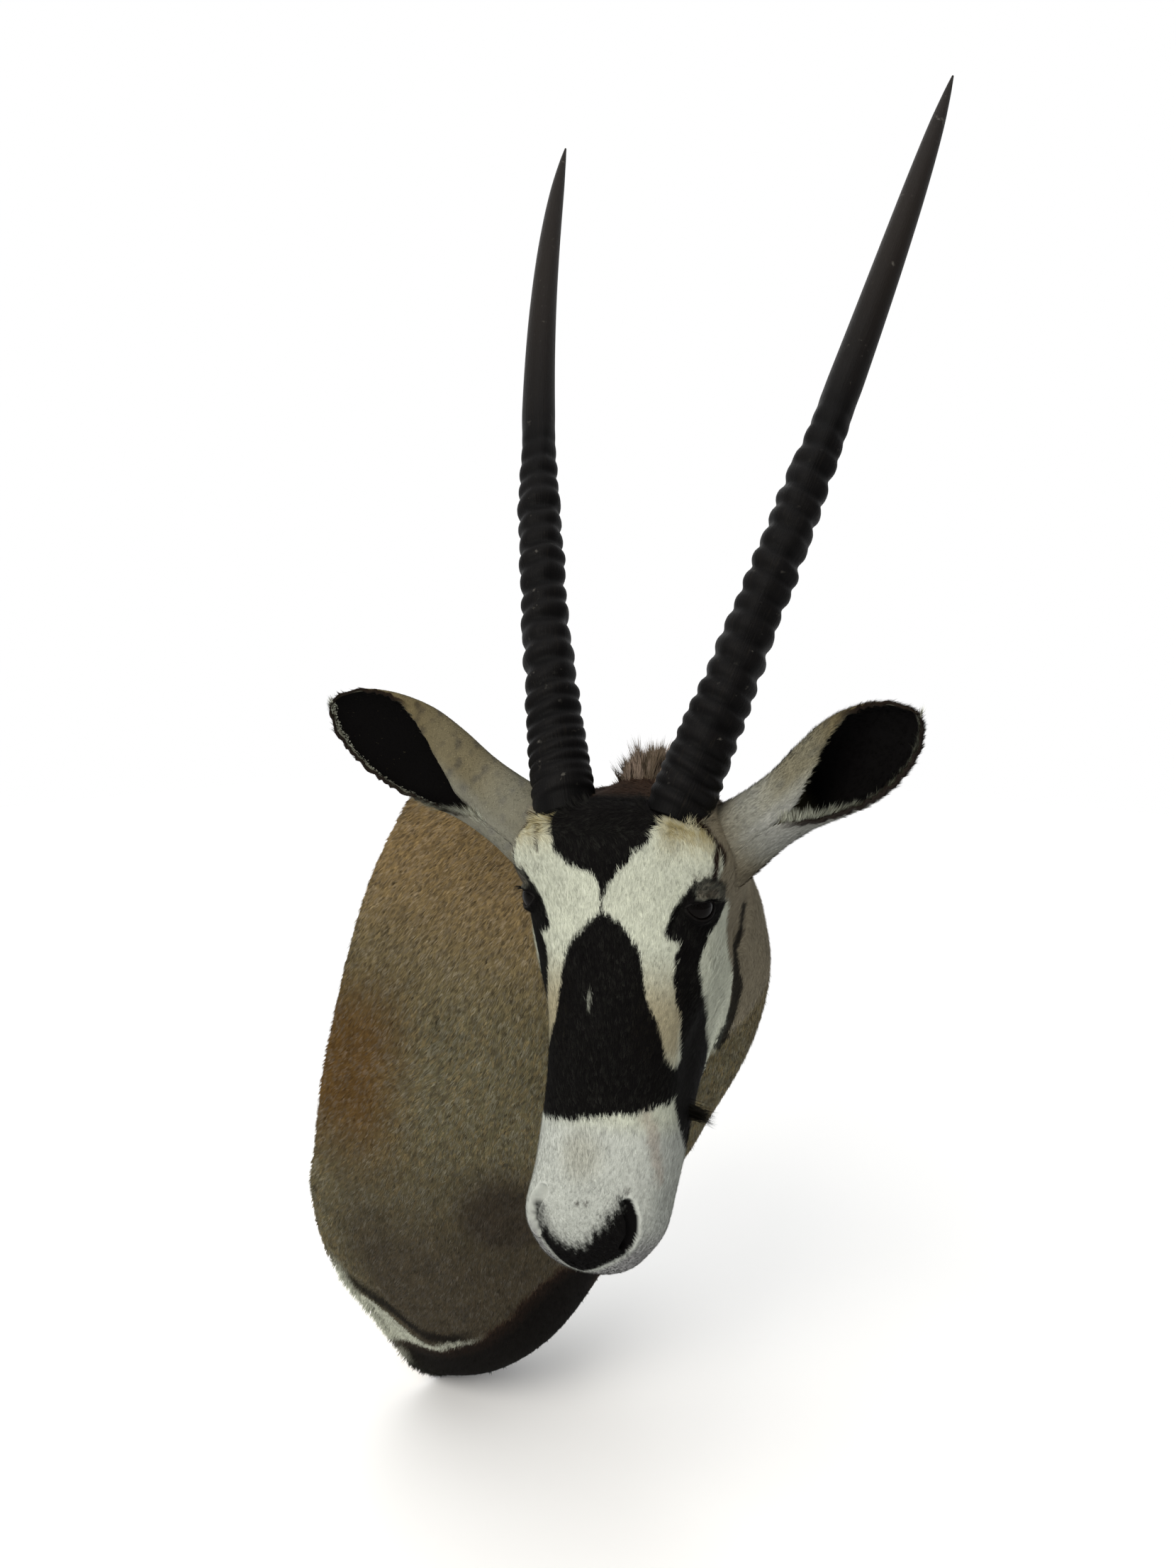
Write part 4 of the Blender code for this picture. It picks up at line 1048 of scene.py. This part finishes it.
# At the shoulder a few dark locks hang down on the right
hang = ease(place, 1.8, 0.7) * (offset < 0.2)
hanging = -0.75 * sideways - 0.50 * WORLD_UP + rng.normal(0, 0.10, (count, 3))
ways = unit(ways * (1 - hang)[:, None] + hang[:, None] * hanging)
lengths = lengths * (1 + 1.1 * hang)
ways, lengths, lock = gather(roots, ways, lengths, rng, 34, 0.95)
turned = rng.normal(0.8 * ease(place, 6.5, 8.5), 0.7, count)
facing_side = unit(sideways * offset[:, None] + onward * turned[:, None] + 0.45 * WORLD_UP
                   + rng.normal(0, 0.15, (count, 3)))
tall = ease(place, 5.6, 7.0)
pink = np.where(rng.random(lock.max() + 1)[lock] < 0.55, 0.85, 0.35) * tall
mane_shares = {
    "brown": np.maximum(0.35 + 0.55 * tall, 0.85 * hang) * (1 - 0.9 * pink),
    "tan": 0.8 * (1 - tall) * (1 - hang),
    "pink": pink,
    "black": np.where(rng.random(count) < 0.16, 0.6, 0.0) * (1 - pink),
    "white": 0.06 * pink,
}
strand_piece("mane", roots, facing_side, ways, lengths, MANE_WIDTHS, rng, mane_shares, lock, 0.4, bend)

# ---- Ears ---------------------------------------------------------------------------------------------
# Each ear is hide over a thin liner: a funnel at its root that opens into a leaf-shaped cup. The upper
# edge folds over the mouth of the cup. Its rim is dark and crinkled, and its inside is nearly black.

EAR_FOOT = (0.084, 0.036, -0.072)
EAR_REACH = {"left": (0.183, -0.106, 0.100), "right": (0.207, -0.116, 0.095)}
EAR_BOW = {"left": 0.004, "right": -0.003}
EAR_FACING = {"left": (0.10, 0.10, 1.0), "right": (0.30, 0.15, 1.0)}
EAR_SECTIONS = (                       # (share of the length, half width, half depth)
    (-0.10, 0.050, 0.034), (0.05, 0.046, 0.031), (0.20, 0.040, 0.028), (0.36, 0.040, 0.027),
    (0.52, 0.048, 0.026), (0.66, 0.052, 0.024), (0.80, 0.046, 0.020), (0.91, 0.033, 0.015),
    (0.98, 0.016, 0.009), (1.00, 0.005, 0.004))
EAR_BREADTH = {"left": 0.78, "right": 0.92}
# How far the hide reaches round from the back of the ear, in degrees: (share, upper edge, lower edge)
EAR_WRAP = ((-0.10, 200, 160), (0.28, 203, 157), (0.40, 194, 128), (0.47, 178, 116), (0.55, 163, 108),
            (0.63, 147, 104), (0.68, 137, 102), (0.75, 121, 100), (0.85, 104, 96), (1.00, 92, 90))
EAR_THICK = 0.0030
EAR_HALF_TURN = 60                     # points across each face of the hide
EAR_RINGS = 104
EAR_STRANDS = 36000                    # on each ear
EAR_LENGTHS, EAR_WIDTHS = (0.004, 0.008), (0.0004, 0.0008)
EAR_CRINKLE = 0.0016


def ear_axes(name):
    """Foot, reach, width and facing directions of one ear, in head places."""
    hand = 1 if name == "left" else -1
    flip = np.array((hand, 1, 1))
    along = np.array(EAR_REACH[name]) * flip
    out = np.array(EAR_FACING[name]) * flip
    out = unit(out - along * (out @ along) / (along @ along))
    across = unit(-hand * np.cross(out, along))
    if (HEAD_TURNED @ across)[2] < 0:
        across = -across
    return np.array(EAR_FOOT) * flip, along, across, out


for name in ("left", "right"):
    foot, along, across, out = ear_axes(name)
    rings, edge_away, inner, shares_along, turned = [], [], [], [], []
    for share in np.linspace(-0.08, 1.0, EAR_RINGS):
        half, deep = between(EAR_SECTIONS, share)
        half *= EAR_BREADTH[name]
        upper_wrap, lower_wrap = between(EAR_WRAP, share)
        turn = np.radians(np.linspace(-lower_wrap, upper_wrap, EAR_HALF_TURN))
        to_rim = np.minimum(np.abs(turn - turn[0]), np.abs(turn - turn[-1])) * half
        opened = ease(share, 0.28, 0.36)
        waves = np.sin(share * 150 + 2.5 * np.sin(share * 37))
        crinkle = EAR_CRINKLE * waves * np.exp(-(to_rim / 0.006) ** 2) * opened
        bend = out * -0.020 + across * EAR_BOW[name]
        centre = foot + along * share + bend * math.sin(math.pi * max(share, 0))
        thick = min(EAR_THICK, 0.45 * deep)
        lay = []
        for face in (0, 1):
            shrink = thick * face * np.ones_like(turn)
            curl = np.where(turn > 0, ease(turn, math.pi * 0.5, math.pi), 0) * opened * 0.006
            wide = (half - shrink + crinkle) * np.sin(turn)
            high = -(deep - shrink - curl) * np.cos(turn)
            lay.append(centre + np.outer(wide, across) + np.outer(high, out))
        rings.append(np.vstack([lay[0], lay[1][::-1]]))
        edge_away.append([*to_rim, *to_rim[::-1]])
        inner.append([*np.zeros_like(turn), *np.ones_like(turn)])
        shares_along.append([share] * (2 * len(turn)))
        turned.append([*turn, *turn[::-1]])
    ear_points, ear_faces = join_rings(from_head(np.array(rings).reshape(-1, 3)).reshape(EAR_RINGS, -1, 3))
    ear = mesh_object(f"{name}_ear", ear_points, ear_faces)
    edge_away, inner, share, turn = (np.ravel(rows) for rows in (edge_away, inner, shares_along, turned))
    opened = ease(share, 0.28, 0.40)
    wobble = 0.0012 * ripple(ear_points, 0.008, 63)
    flap = (turn > 0) * ease(share, 0.80, 0.72)
    rim = ease(edge_away + wobble, 0.0050, 0.0030) * opened * (1 - flap)
    fringe = ease(edge_away + wobble, 0.0120, 0.0075) * opened * inner * (1 - 0.5 * flap)
    front = ease(np.abs(turn), 1.2, 1.7) * (1 - inner)
    high_side = ease(np.sin(turn), -0.25, 0.45)
    mottle = ease(ripple(ear_points, 0.016, 65), 0.1, 1.1) * (1 - inner)
    paler, root_end = (1.6, 0.28) if name == "left" else (0.50, 0.14)
    outer = ease(share, 0.06, root_end)
    near_foot = ease(share, 0.45, 0.20)
    grey = front * np.maximum(1 - high_side, 0.65 * near_foot) * outer
    whiter = paler * (0.12 * front * outer + 0.28 * grey) * ease(share, 0.75, 0.55)
    lined = np.maximum(inner * opened * (1 - 0.8 * fringe), 0.65 * rim)
    ear_shares = {
        "taupe": 0.9 * (1 - outer),
        "white": np.maximum(whiter, 0.35 * fringe),
        "black": np.maximum(lined, 0.5 * ease(share, 0.93, 0.985)),
        "brown": np.maximum(0.8 * ease(share, 0.90, 0.97), 0.9 * rim),
        "tan": 0.25 * front * high_side * (1 - 0.8 * near_foot),
        "lip": 0.40 * paler * grey,
        "dark": 0.70 * mottle,
    }
    put_shares(ear.data, ear_shares)
    ear.data.materials.append(hair)
    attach(ear, "root")
    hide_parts("hide")
    # Hair lies towards the tip; inside the cup's lower edge it is longer, pale and points up
    low_rim = inner * (turn < 0) * ease(edge_away, 0.021, 0.010) * ease(edge_away, 0.0022, 0.0040)
    low_rim = low_rim * ease(share, 0.18, 0.26)
    density = (1 - inner) + 0.35 * inner * opened + 2.5 * low_rim
    layers = {**ear_shares, "long": low_rim, "inner": inner, "root": ease(share, 0.62, 0.45)}
    seed = 66 if name == "left" else 67
    roots, normals, rng, carried = strand_roots(ear.data, EAR_STRANDS, density, seed, layers)
    count = len(roots)
    low, inside, near_root = (carried.pop(key) for key in ("long", "inner", "root"))
    long = low * (0.35 + 0.65 * near_root)
    flow = HEAD_TURNED @ unit(along) + 0.18 * ripples(roots, 0.03, (68, 69, 70))
    flow = flow + long[:, None] * (1.4 * HEAD_TURNED @ across)
    ways = lay_down(normals, flow, 0.28, rng, 0.18, 0.01)
    lengths = rng.uniform(*EAR_LENGTHS, count) * (1 + 1.9 * long)
    ways, lengths, lock = gather(roots, ways, lengths, rng, 6, 0.55)
    pale = rng.random(count) < (0.50 + 0.3 * near_root) * np.minimum(1.4 * low, 1)
    carried["white"] = np.where(pale, 0.75, carried["white"])
    carried["black"] = np.where(pale, 0.0, carried["black"])
    carried["brown"] = np.where(pale, 0.0, carried["brown"])
    strand_piece(f"{name}_ear_hair", roots, normals, ways, lengths, EAR_WIDTHS, rng, carried, lock)

# ---- Eyes -------------------------------------------------------------------------------------------
# Each eye is a glass dome painted from behind: nearly black brown with a wide pupil that lies level,
# and set in clay behind black leathery lid rims.

EYE_INSET = 0.0002
LID_RIM_LIFT, LID_RIM_RADIUS = 0.0007, 0.0012
LASHES = 90                            # on each eye
LASH_LENGTHS, LASH_WIDTHS = (0.007, 0.013), (0.0004, 0.0008)

# Painted glass: a wet, nearly black shine, with a grey glint painted into the colour of the eye's outer
# corner, a painted reflection
glass, tree, shader = new_material("painted_glass")
corner = add_node(tree, "Attribute", out="Fac", attribute_name="corner")
spot = add_node(tree, "TexCoord", out="Object")
veins = add_node(tree, "TexNoise", {"Vector": spot, "Scale": 700.0, "Detail": 3.0})
brown = add_node(tree, "Mix", {0: veins, 6: linear("#040303"), 7: linear("#0b0705")}, **COLOUR_MIX)
painted = add_node(tree, "Mix", {0: corner, 6: brown, 7: linear("#5e5e5b")}, **COLOUR_MIX)
tree.links.new(painted, shader.inputs["Base Color"])
shader.inputs["Roughness"].default_value = 0.05
shader.inputs["IOR"].default_value = 1.5
shader.inputs["Specular IOR Level"].default_value = 0.06
# Bare skin of the lids: black and leathery, with hardly any shine
rim_skin, tree, shader = new_material("bare_lid_skin")
shader.inputs["Base Color"].default_value = linear("#0d0b0a")
shader.inputs["Roughness"].default_value = 0.55
shader.inputs["Specular IOR Level"].default_value = 0.06


def ball_rings(centre, radius, sides=72, steps=48):
    """Rings of points round a ball."""
    turn = full_turn(sides)
    rings = []
    for tilt in np.linspace(0.02, np.pi - 0.02, steps):
        ring = np.stack([np.sin(tilt) * np.cos(turn), np.sin(tilt) * np.sin(turn),
                         np.full(sides, np.cos(tilt))], axis=1)
        rings.append(centre + radius * ring[::-1])
    return rings


def tube(line, radius, sides=10):
    """A closed tube along points."""
    way = unit(np.gradient(line, axis=0))
    guide = np.cross(way[0], (0.3, 0.5, 0.8))
    rings = []
    turn = full_turn(sides)
    for point, forward in zip(line, way):
        guide = unit(guide - forward * (guide @ forward))
        other = np.cross(forward, guide)
        rings.append(point + radius * (np.outer(np.cos(turn), guide) + np.outer(np.sin(turn), other)))
    return join_rings(rings)


for name, hand in (("left", 1.0), ("right", -1.0)):
    flip = np.array((hand, 1.0, 1.0))
    eye_points, eye_faces = join_rings(ball_rings(from_head(EYE_PLACE * flip), EYE_RADIUS - EYE_INSET))
    eye = mesh_object(f"{name}_glass_eye", eye_points, eye_faces)
    eye.data.materials.append(glass)
    along, down, _ = eye_angles(to_head(eye_points) * flip)
    # A painted reflection: a grey glint in the outer corner of the glass, kept as the corner share
    painted_glint = ease(np.hypot((along - 0.30) / 0.62, down / 0.62), 0.82, 0.96) * (along > 0.3)
    put_shares(eye.data, {"corner": 0.8 * painted_glint * ease(np.abs(down - 0.02), 0.42, 0.30)})
    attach(eye, "root")
    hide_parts(f"{name}_eye")
    t = np.linspace(-1, 1, 40)
    upper, lower = lid_edges(t * SLIT_HALF)
    along = np.concatenate([t, t[::-1][1:-1]]) * SLIT_HALF
    down = np.concatenate([upper, lower[::-1][1:-1]])
    turn = np.hypot(along, down)
    size = np.maximum(turn, 1e-9)
    way = (np.cos(turn)[:, None] * EYE_FACING
           + (np.sin(turn) / size)[:, None] * (along[:, None] * SLIT_WAY + down[:, None] * LID_DOWN))
    loop = from_head((EYE_PLACE + way * (EYE_RADIUS + LID_RIM_LIFT)) * flip)
    loop = np.vstack([loop, loop[:2]])
    rim_points, rim_faces = tube(loop, LID_RIM_RADIUS)
    rim = mesh_object(f"{name}_lid_rim", rim_points, rim_faces)
    rim.data.materials.append(rim_skin)
    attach(rim, "root")
    # Lashes along the upper lid
    rng = np.random.default_rng(71 if name == "left" else 72)
    t = rng.uniform(-0.85, 0.85, LASHES)
    angles = np.stack([t * SLIT_HALF, lid_edges(t * SLIT_HALF)[0] - rng.uniform(0.0, 0.10, LASHES)], axis=1)
    outward = unit(EYE_FACING + angles[:, :1] * SLIT_WAY + angles[:, 1:] * LID_DOWN)
    ways = unit(outward + 0.55 * LID_DOWN + 0.5 * t[:, None] * SLIT_WAY + rng.normal(0, 0.15, (LASHES, 3)))
    roots = from_head((EYE_PLACE + outward * (EYE_RADIUS + LID_RIM_RADIUS)) * flip)
    strand_piece(f"{name}_lashes", roots, (outward * flip) @ HEAD_TURNED.T, (ways * flip) @ HEAD_TURNED.T,
                 rng.uniform(*LASH_LENGTHS, LASHES), LASH_WIDTHS, rng, {"black": np.full(LASHES, 1.0)})

# ---- Horns ------------------------------------------------------------------------------------------
# Keratin sheaths on bone cores, nearly black. Twenty-three ridges ring the lower half, crowded and
# uneven at the foot; above them the horn is smooth and browner, and runs to a blunt point.

HORN_LENGTH = 0.907
HORN_FOOT = (0.0575, -0.0028, -0.0301)
HORN_SPREAD = (math.radians(16.2), math.radians(-9.8))    # at the foot, and gained to the tip
HORN_LEAN = (math.radians(6.6), math.radians(15.2))
HORN_DIAMETERS = ((0.0, 0.0585), (0.05, 0.0555), (0.13, 0.0480), (0.20, 0.0435), (0.32, 0.0410),
                  (0.44, 0.0375), (0.56, 0.0340), (0.68, 0.0300), (0.80, 0.0245), (0.90, 0.0170),
                  (0.965, 0.0085), (1.0, 0.0024))
RING_COUNT = 23
RING_GAPS = (0.0108, 0.0226)           # at the foot, and from the twelfth ring up
HORN_STEPS = 500
HORN_SIDES = 44
HORN_SUNK = 0.020
RINGS_SUNK = 0.012                     # the rings are counted from here, below the foot
RING_DEPTH = 0.0046
GRAIN_ACROSS, GRAIN_ALONG = 16, 30     # streaks round the horn, and pattern lengths along it

# Keratin: nearly black with fine long streaks, a satin gloss that varies along them, worn browner
# towards the tip, and grey dust in flecks on the ridges and not in the grooves, partly painted highlight;
# the grooves are painted darker as painted shade
keratin, tree, shader = new_material("horn_keratin")
spot = add_node(tree, "TexCoord", out="Object")
grain = add_node(tree, "Attribute", out="Vector", attribute_name="grain")
height = add_node(tree, "Attribute", out="Fac", attribute_name="height")
ridge = add_node(tree, "Attribute", out="Fac", attribute_name="ridge")
streaks = add_node(tree, "TexNoise", {"Vector": grain, "Scale": 1.0, "Detail": 6.0, "Roughness": 0.65})
clouds = add_node(tree, "TexNoise", {"Vector": spot, "Scale": 95.0, "Detail": 8.0, "Roughness": 0.6})
base = add_node(tree, "Mix", {0: height, 6: linear("#090808"), 7: linear("#171310")}, **COLOUR_MIX)
worn = add_node(tree, "MapRange", {"Value": streaks, "From Min": 0.56, "From Max": 0.80})
base = add_node(tree, "Mix", {0: worn, 6: base, 7: linear("#1a1713")}, **COLOUR_MIX)
# Grey flecks on the ridges only: dust, and a painted highlight on the crests
dust_and_highlight = add_node(tree, "MapRange", {"Value": clouds, "From Min": 0.64, "From Max": 0.80})
dust_and_highlight = add_node(tree, "Math", {0: dust_and_highlight, 1: ridge}, operation="MULTIPLY")
base = add_node(tree, "Mix", {0: dust_and_highlight, 6: base, 7: linear("#55524c")}, **COLOUR_MIX)
# Painted shade: the grooves between the ridges are darker and the crests a little lighter
painted_groove_shade = add_node(tree, "MapRange", {"Value": ridge, "To Min": 0.28, "To Max": 1.10})
base = add_node(tree, "Mix", {0: 1.0, 6: base, 7: painted_groove_shade}, blend_type="MULTIPLY", **COLOUR_MIX)
tree.links.new(base, shader.inputs["Base Color"])
gloss = add_node(tree, "MapRange", {"Value": streaks, "To Min": 0.34, "To Max": 0.62})
tree.links.new(gloss, shader.inputs["Roughness"])
shader.inputs["Specular IOR Level"].default_value = 0.05
fibre = add_node(tree, "Bump", {"Height": streaks, "Strength": 0.5, "Distance": 0.0012})
tree.links.new(fibre, shader.inputs["Normal"])

for name, hand in (("left", 1.0), ("right", -1.0)):
    rng = np.random.default_rng(51 if hand > 0 else 52)
    ring = np.arange(RING_COUNT)
    ring_gap = RING_GAPS[0] + (RING_GAPS[1] - RING_GAPS[0]) * ease(ring, 3.5, 11)
    ring_gap = ring_gap * rng.uniform(0.9, 1.1, RING_COUNT)
    ring_places = (np.cumsum(ring_gap) - RINGS_SUNK) / HORN_LENGTH
    ring_gap /= HORN_LENGTH
    slant = rng.normal(0.20, 0.07, RING_COUNT)
    turned = rng.uniform(-0.6, 0.6, RING_COUNT)
    strength = rng.uniform(0.80, 1.15, RING_COUNT) * (1 - 0.85 * ease(ring, 17.5, 23))
    share = np.linspace(-HORN_SUNK / HORN_LENGTH, 1, HORN_STEPS)
    spread = HORN_SPREAD[0] + HORN_SPREAD[1] * np.maximum(share, 0)
    lean = HORN_LEAN[0] + HORN_LEAN[1] * np.maximum(share, 0)
    way = np.stack([hand * np.sin(spread), -np.cos(spread) * np.cos(lean),
                    -np.cos(spread) * np.sin(lean)], axis=1)
    middle = np.cumsum((way[1:] + way[:-1]) / 2, axis=0) * HORN_LENGTH * (share[1] - share[0])
    middle = np.vstack([np.zeros(3), middle])
    middle = middle - interp_rows([0], share, middle) + np.array(HORN_FOOT) * (hand, 1, 1)
    forward = unit(WORLD_UP - way * way[:, 2:3])       # WORLD_UP is out of the face here
    sideways = np.cross(way, forward)
    radius = np.array([between(HORN_DIAMETERS, s)[0] / 2 for s in np.maximum(share, 0)])
    turn = full_turn(HORN_SIDES)
    height_grid = share[:, None] * np.ones(HORN_SIDES)
    swell = np.zeros_like(height_grid)
    for place, gap, tilt, twist, power in zip(ring_places, ring_gap, slant, turned, strength):
        centre = place + tilt * radius[:, None] * np.sin(hand * turn + twist) / HORN_LENGTH
        off = (height_grid - centre) / (gap * 0.40)
        swell += power * np.exp(-np.abs(off) ** 2.6)
    inner_side = ease(hand * np.sin(turn), 0.2, 0.95)
    swell *= 1 - 0.2 * inner_side[None, :] * ease(height_grid, 0.20, 0.06)
    depth = RING_DEPTH * (0.55 + 0.45 * ease(share, 0.03, 0.12)) * (1 - 0.15 * ease(share, 0.30, 0.45))
    ringed = ease(share, 0.50, 0.43)[:, None]
    uneven = 0.0005 * np.sin(5 * turn + 40 * height_grid) * ease(share, 0.02, 0.10)[:, None]
    reach = radius[:, None] + (swell - 0.45) * depth[:, None] * ringed + uneven * ringed
    around = (forward[:, None, :] * np.cos(turn)[None, :, None]
              + sideways[:, None, :] * np.sin(turn)[None, :, None])
    rings = middle[:, None, :] + reach[:, :, None] * around
    horn_points, horn_faces = join_rings(from_head(rings.reshape(-1, 3)).reshape(rings.shape))
    horn = mesh_object(f"{name}_horn_sheath", horn_points, horn_faces)
    put_shares(horn.data, {"height": ease(height_grid, 0.40, 0.75).ravel(),
                           "ridge": np.maximum(np.clip(swell, 0, 1), 1 - ringed).ravel()})
    flat = np.ones_like(height_grid)
    grain = np.stack([GRAIN_ACROSS * np.cos(turn) * flat, GRAIN_ACROSS * np.sin(turn) * flat,
                      GRAIN_ALONG * height_grid + hand * 7], axis=-1)
    layer = horn.data.attributes.new("grain", "FLOAT_VECTOR", "POINT")
    layer.data.foreach_set("vector", grain.astype(np.float32).ravel())
    horn.data.materials.append(keratin)
    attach(horn, "root")
    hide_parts(f"{name}_horn")

# ---- Back ---------------------------------------------------------------------------------------------
# The back is hidden by the wall, and so it is guessed: the flat end of the rigid foam form, the hide
# turned over its edge and stapled down, a plywood board let into the foam and a zinc plated hanger.

HEM_WIDE = 0.030
HEM_LIFT = 0.0010                      # the hide lies this far off the wall plane at most
STAPLES = 76
STAPLE_SIZE = (0.0012, 0.0010, 0.0100)
BOARD_HALF = (0.140, 0.305)            # half width and half height
BOARD_MIDDLE = -0.015
BOARD_TAPER = 0.12
FOAM_SUNK, BOARD_SUNK = 0.0024, 0.0100  # the foam's face, and the floor of the board's recess
RIM_POINTS = 360

points, _, _ = mesh_arrays(skin_mesh)
rim_points = points[points[:, 1] > -0.0040]
bearing = np.arctan2(rim_points[:, 0], rim_points[:, 2])
order = np.argsort(bearing)
angle = full_turn(RIM_POINTS) - np.pi
rim_reach = np.hypot(rim_points[:, 0], rim_points[:, 2])[order]
rim_reach = np.interp(angle, bearing[order], rim_reach, period=2 * np.pi)
rim_reach = (np.roll(rim_reach, 1) + rim_reach + np.roll(rim_reach, -1)) / 3
outline = rim_reach[:, None] * np.stack([np.sin(angle), np.cos(angle)], axis=1)
along = np.roll(outline, -1, axis=0) - np.roll(outline, 1, axis=0)
inward = unit(np.stack([-along[:, 1], along[:, 0]], axis=1))
inward *= -np.sign((inward * outline).sum(axis=1))[:, None]
ragged = 0.0030 * np.sin(angle * 23 + 2 * np.sin(angle * 5)) + 0.0012 * np.sin(angle * 61)


def flat_ring(ring, depth):
    """World points of a ring of (x, z) places at a depth from the wall."""
    return np.stack([ring[:, 0], np.full(len(ring), depth), ring[:, 1]], axis=1)


rings = []
for share, depth in ((0.0, -0.0040), (0.04, -0.0016), (0.10, -HEM_LIFT), (0.5, -HEM_LIFT - 0.0002),
                     (0.97, -HEM_LIFT), (1.0, -0.0022)):
    rings.append(flat_ring(outline + inward * (0.0004 + share * (HEM_WIDE + ragged))[:, None], depth))
hem_points, hem_faces = join_rings(rings, closed=False)
hem = mesh_object("turned_hem", hem_points, hem_faces)
# The flesh side of tanned hide: pale, dry and suede-like, with greyish stains
leather, tree, shader = new_material("tanned_flesh_side")
spot = add_node(tree, "TexCoord", out="Object")
stains = add_node(tree, "TexNoise", {"Vector": spot, "Scale": 40.0, "Detail": 6.0})
nap = add_node(tree, "TexNoise", {"Vector": spot, "Scale": 900.0, "Detail": 3.0})
base = add_node(tree, "Mix", {0: stains, 6: linear("#8b7f6c"), 7: linear("#cdc2ab")}, **COLOUR_MIX)
tree.links.new(base, shader.inputs["Base Color"])
bumps = add_node(tree, "Bump", {"Height": nap, "Strength": 0.6, "Distance": 0.0006})
tree.links.new(bumps, shader.inputs["Normal"])
shader.inputs["Roughness"].default_value = 0.85
hem.data.materials.append(leather)
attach(hem, "root")

board_edge = np.stack([BOARD_HALF[0] * (1 - BOARD_TAPER * np.cos(angle)) * np.sin(angle),
                       BOARD_MIDDLE + BOARD_HALF[1] * np.cos(angle)], axis=1)
reach = np.hypot(*board_edge.T)
reach = np.interp(angle, np.arctan2(board_edge[:, 0], board_edge[:, 1]), reach, period=2 * np.pi)
board_edge = reach[:, None] * np.stack([np.sin(angle), np.cos(angle)], axis=1)
rings = []
for share, depth in ((0.0, -FOAM_SUNK), (0.3, -FOAM_SUNK), (0.6, -FOAM_SUNK), (1.0, -FOAM_SUNK),
                     (1.0, -BOARD_SUNK)):
    rings.append(flat_ring((outline + inward * 0.006) * (1 - share) + (board_edge * 1.004) * share, depth))
foam_points, foam_faces = join_rings(rings, closed=False)
foam = mesh_object("foam_back", foam_points, foam_faces)
# Rigid yellowish foam, sawn flat: an open grain of small bubbles, darker where it has aged
foam_paint, tree, shader = new_material("polyurethane_foam")
spot = add_node(tree, "TexCoord", out="Object")
bubbles = add_node(tree, "TexVoronoi", {"Vector": spot, "Scale": 420.0})
aged = add_node(tree, "TexNoise", {"Vector": spot, "Scale": 16.0, "Detail": 4.0})
base = add_node(tree, "Mix", {0: aged, 6: linear("#b99c5c"), 7: linear("#dcc791")}, **COLOUR_MIX)
tree.links.new(base, shader.inputs["Base Color"])
bumps = add_node(tree, "Bump", {"Height": bubbles, "Strength": 0.7, "Distance": 0.0012})
tree.links.new(bumps, shader.inputs["Normal"])
shader.inputs["Roughness"].default_value = 0.9
foam.data.materials.append(foam_paint)
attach(foam, "root")

# Galvanised sheet: large soft spangles, brushed by handling
zinc, tree, shader = new_material("zinc_plated_steel")
spot = add_node(tree, "TexCoord", out="Object")
spangle = add_node(tree, "TexVoronoi", {"Vector": spot, "Scale": 140.0}, out="Color")
base = add_node(tree, "Mix", {0: spangle, 6: linear("#8f9394"), 7: linear("#c2c6c8")}, **COLOUR_MIX)
tree.links.new(base, shader.inputs["Base Color"])
across_spangle = spangle.node.outputs["Distance"]
dull = add_node(tree, "MapRange", {"Value": across_spangle, "To Min": 0.30, "To Max": 0.55})
tree.links.new(dull, shader.inputs["Roughness"])
shader.inputs["Metallic"].default_value = 1.0

rng = np.random.default_rng(81)
bm = bmesh.new()
for k in range(STAPLES):
    at = int((k + rng.uniform(-0.2, 0.2)) * RIM_POINTS / STAPLES) % RIM_POINTS
    centre = outline[at] + inward[at] * rng.uniform(0.010, 0.020)
    lean = math.atan2(*inward[at]) + math.pi / 2 + rng.normal(0, 0.18)
    place = Matrix.Translation((centre[0], -HEM_LIFT + 0.0002, centre[1])) @ Matrix.Rotation(lean, 4, "Y")
    bmesh.ops.create_cube(bm, matrix=place @ Matrix.Diagonal((*STAPLE_SIZE, 1.0)))
staple_mesh = bpy.data.meshes.new("staples")
bm.to_mesh(staple_mesh)
bm.free()
staples = link_mesh("staples", staple_mesh)
staple_mesh.materials.append(zinc)
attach(staples, "root")

# Birch plywood: a pale face veneer with long grain, small dark pin knots and fine pores
plywood, tree, shader = new_material("birch_plywood")
spot = add_node(tree, "TexCoord", out="Object")
long_grain = add_node(tree, "VectorMath", {0: spot, 1: (60.0, 8.0, 3.0)}, operation="MULTIPLY")
figure = add_node(tree, "TexNoise", {"Vector": long_grain, "Scale": 1.0, "Detail": 5.0, "Distortion": 1.2})
pore_ways = add_node(tree, "VectorMath", {0: spot, 1: (1500.0, 300.0, 60.0)}, operation="MULTIPLY")
pores = add_node(tree, "TexNoise", {"Vector": pore_ways, "Scale": 1.0, "Detail": 2.0})
bands = add_node(tree, "MapRange", {"Value": figure, "From Min": 0.35, "From Max": 0.65})
base = add_node(tree, "Mix", {0: bands, 6: linear("#b08a57"), 7: linear("#d9bd8c")}, **COLOUR_MIX)
pored = add_node(tree, "MapRange", {"Value": pores, "From Min": 0.30, "From Max": 0.50, "To Min": 0.72})
base = add_node(tree, "Mix", {0: 1.0, 6: base, 7: pored}, blend_type="MULTIPLY", **COLOUR_MIX)
tree.links.new(base, shader.inputs["Base Color"])
shader.inputs["Roughness"].default_value = 0.7
for node, finish in (("back_board", plywood), ("hanger", zinc)):
    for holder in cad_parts[node].material_slots:
        holder.material = finish
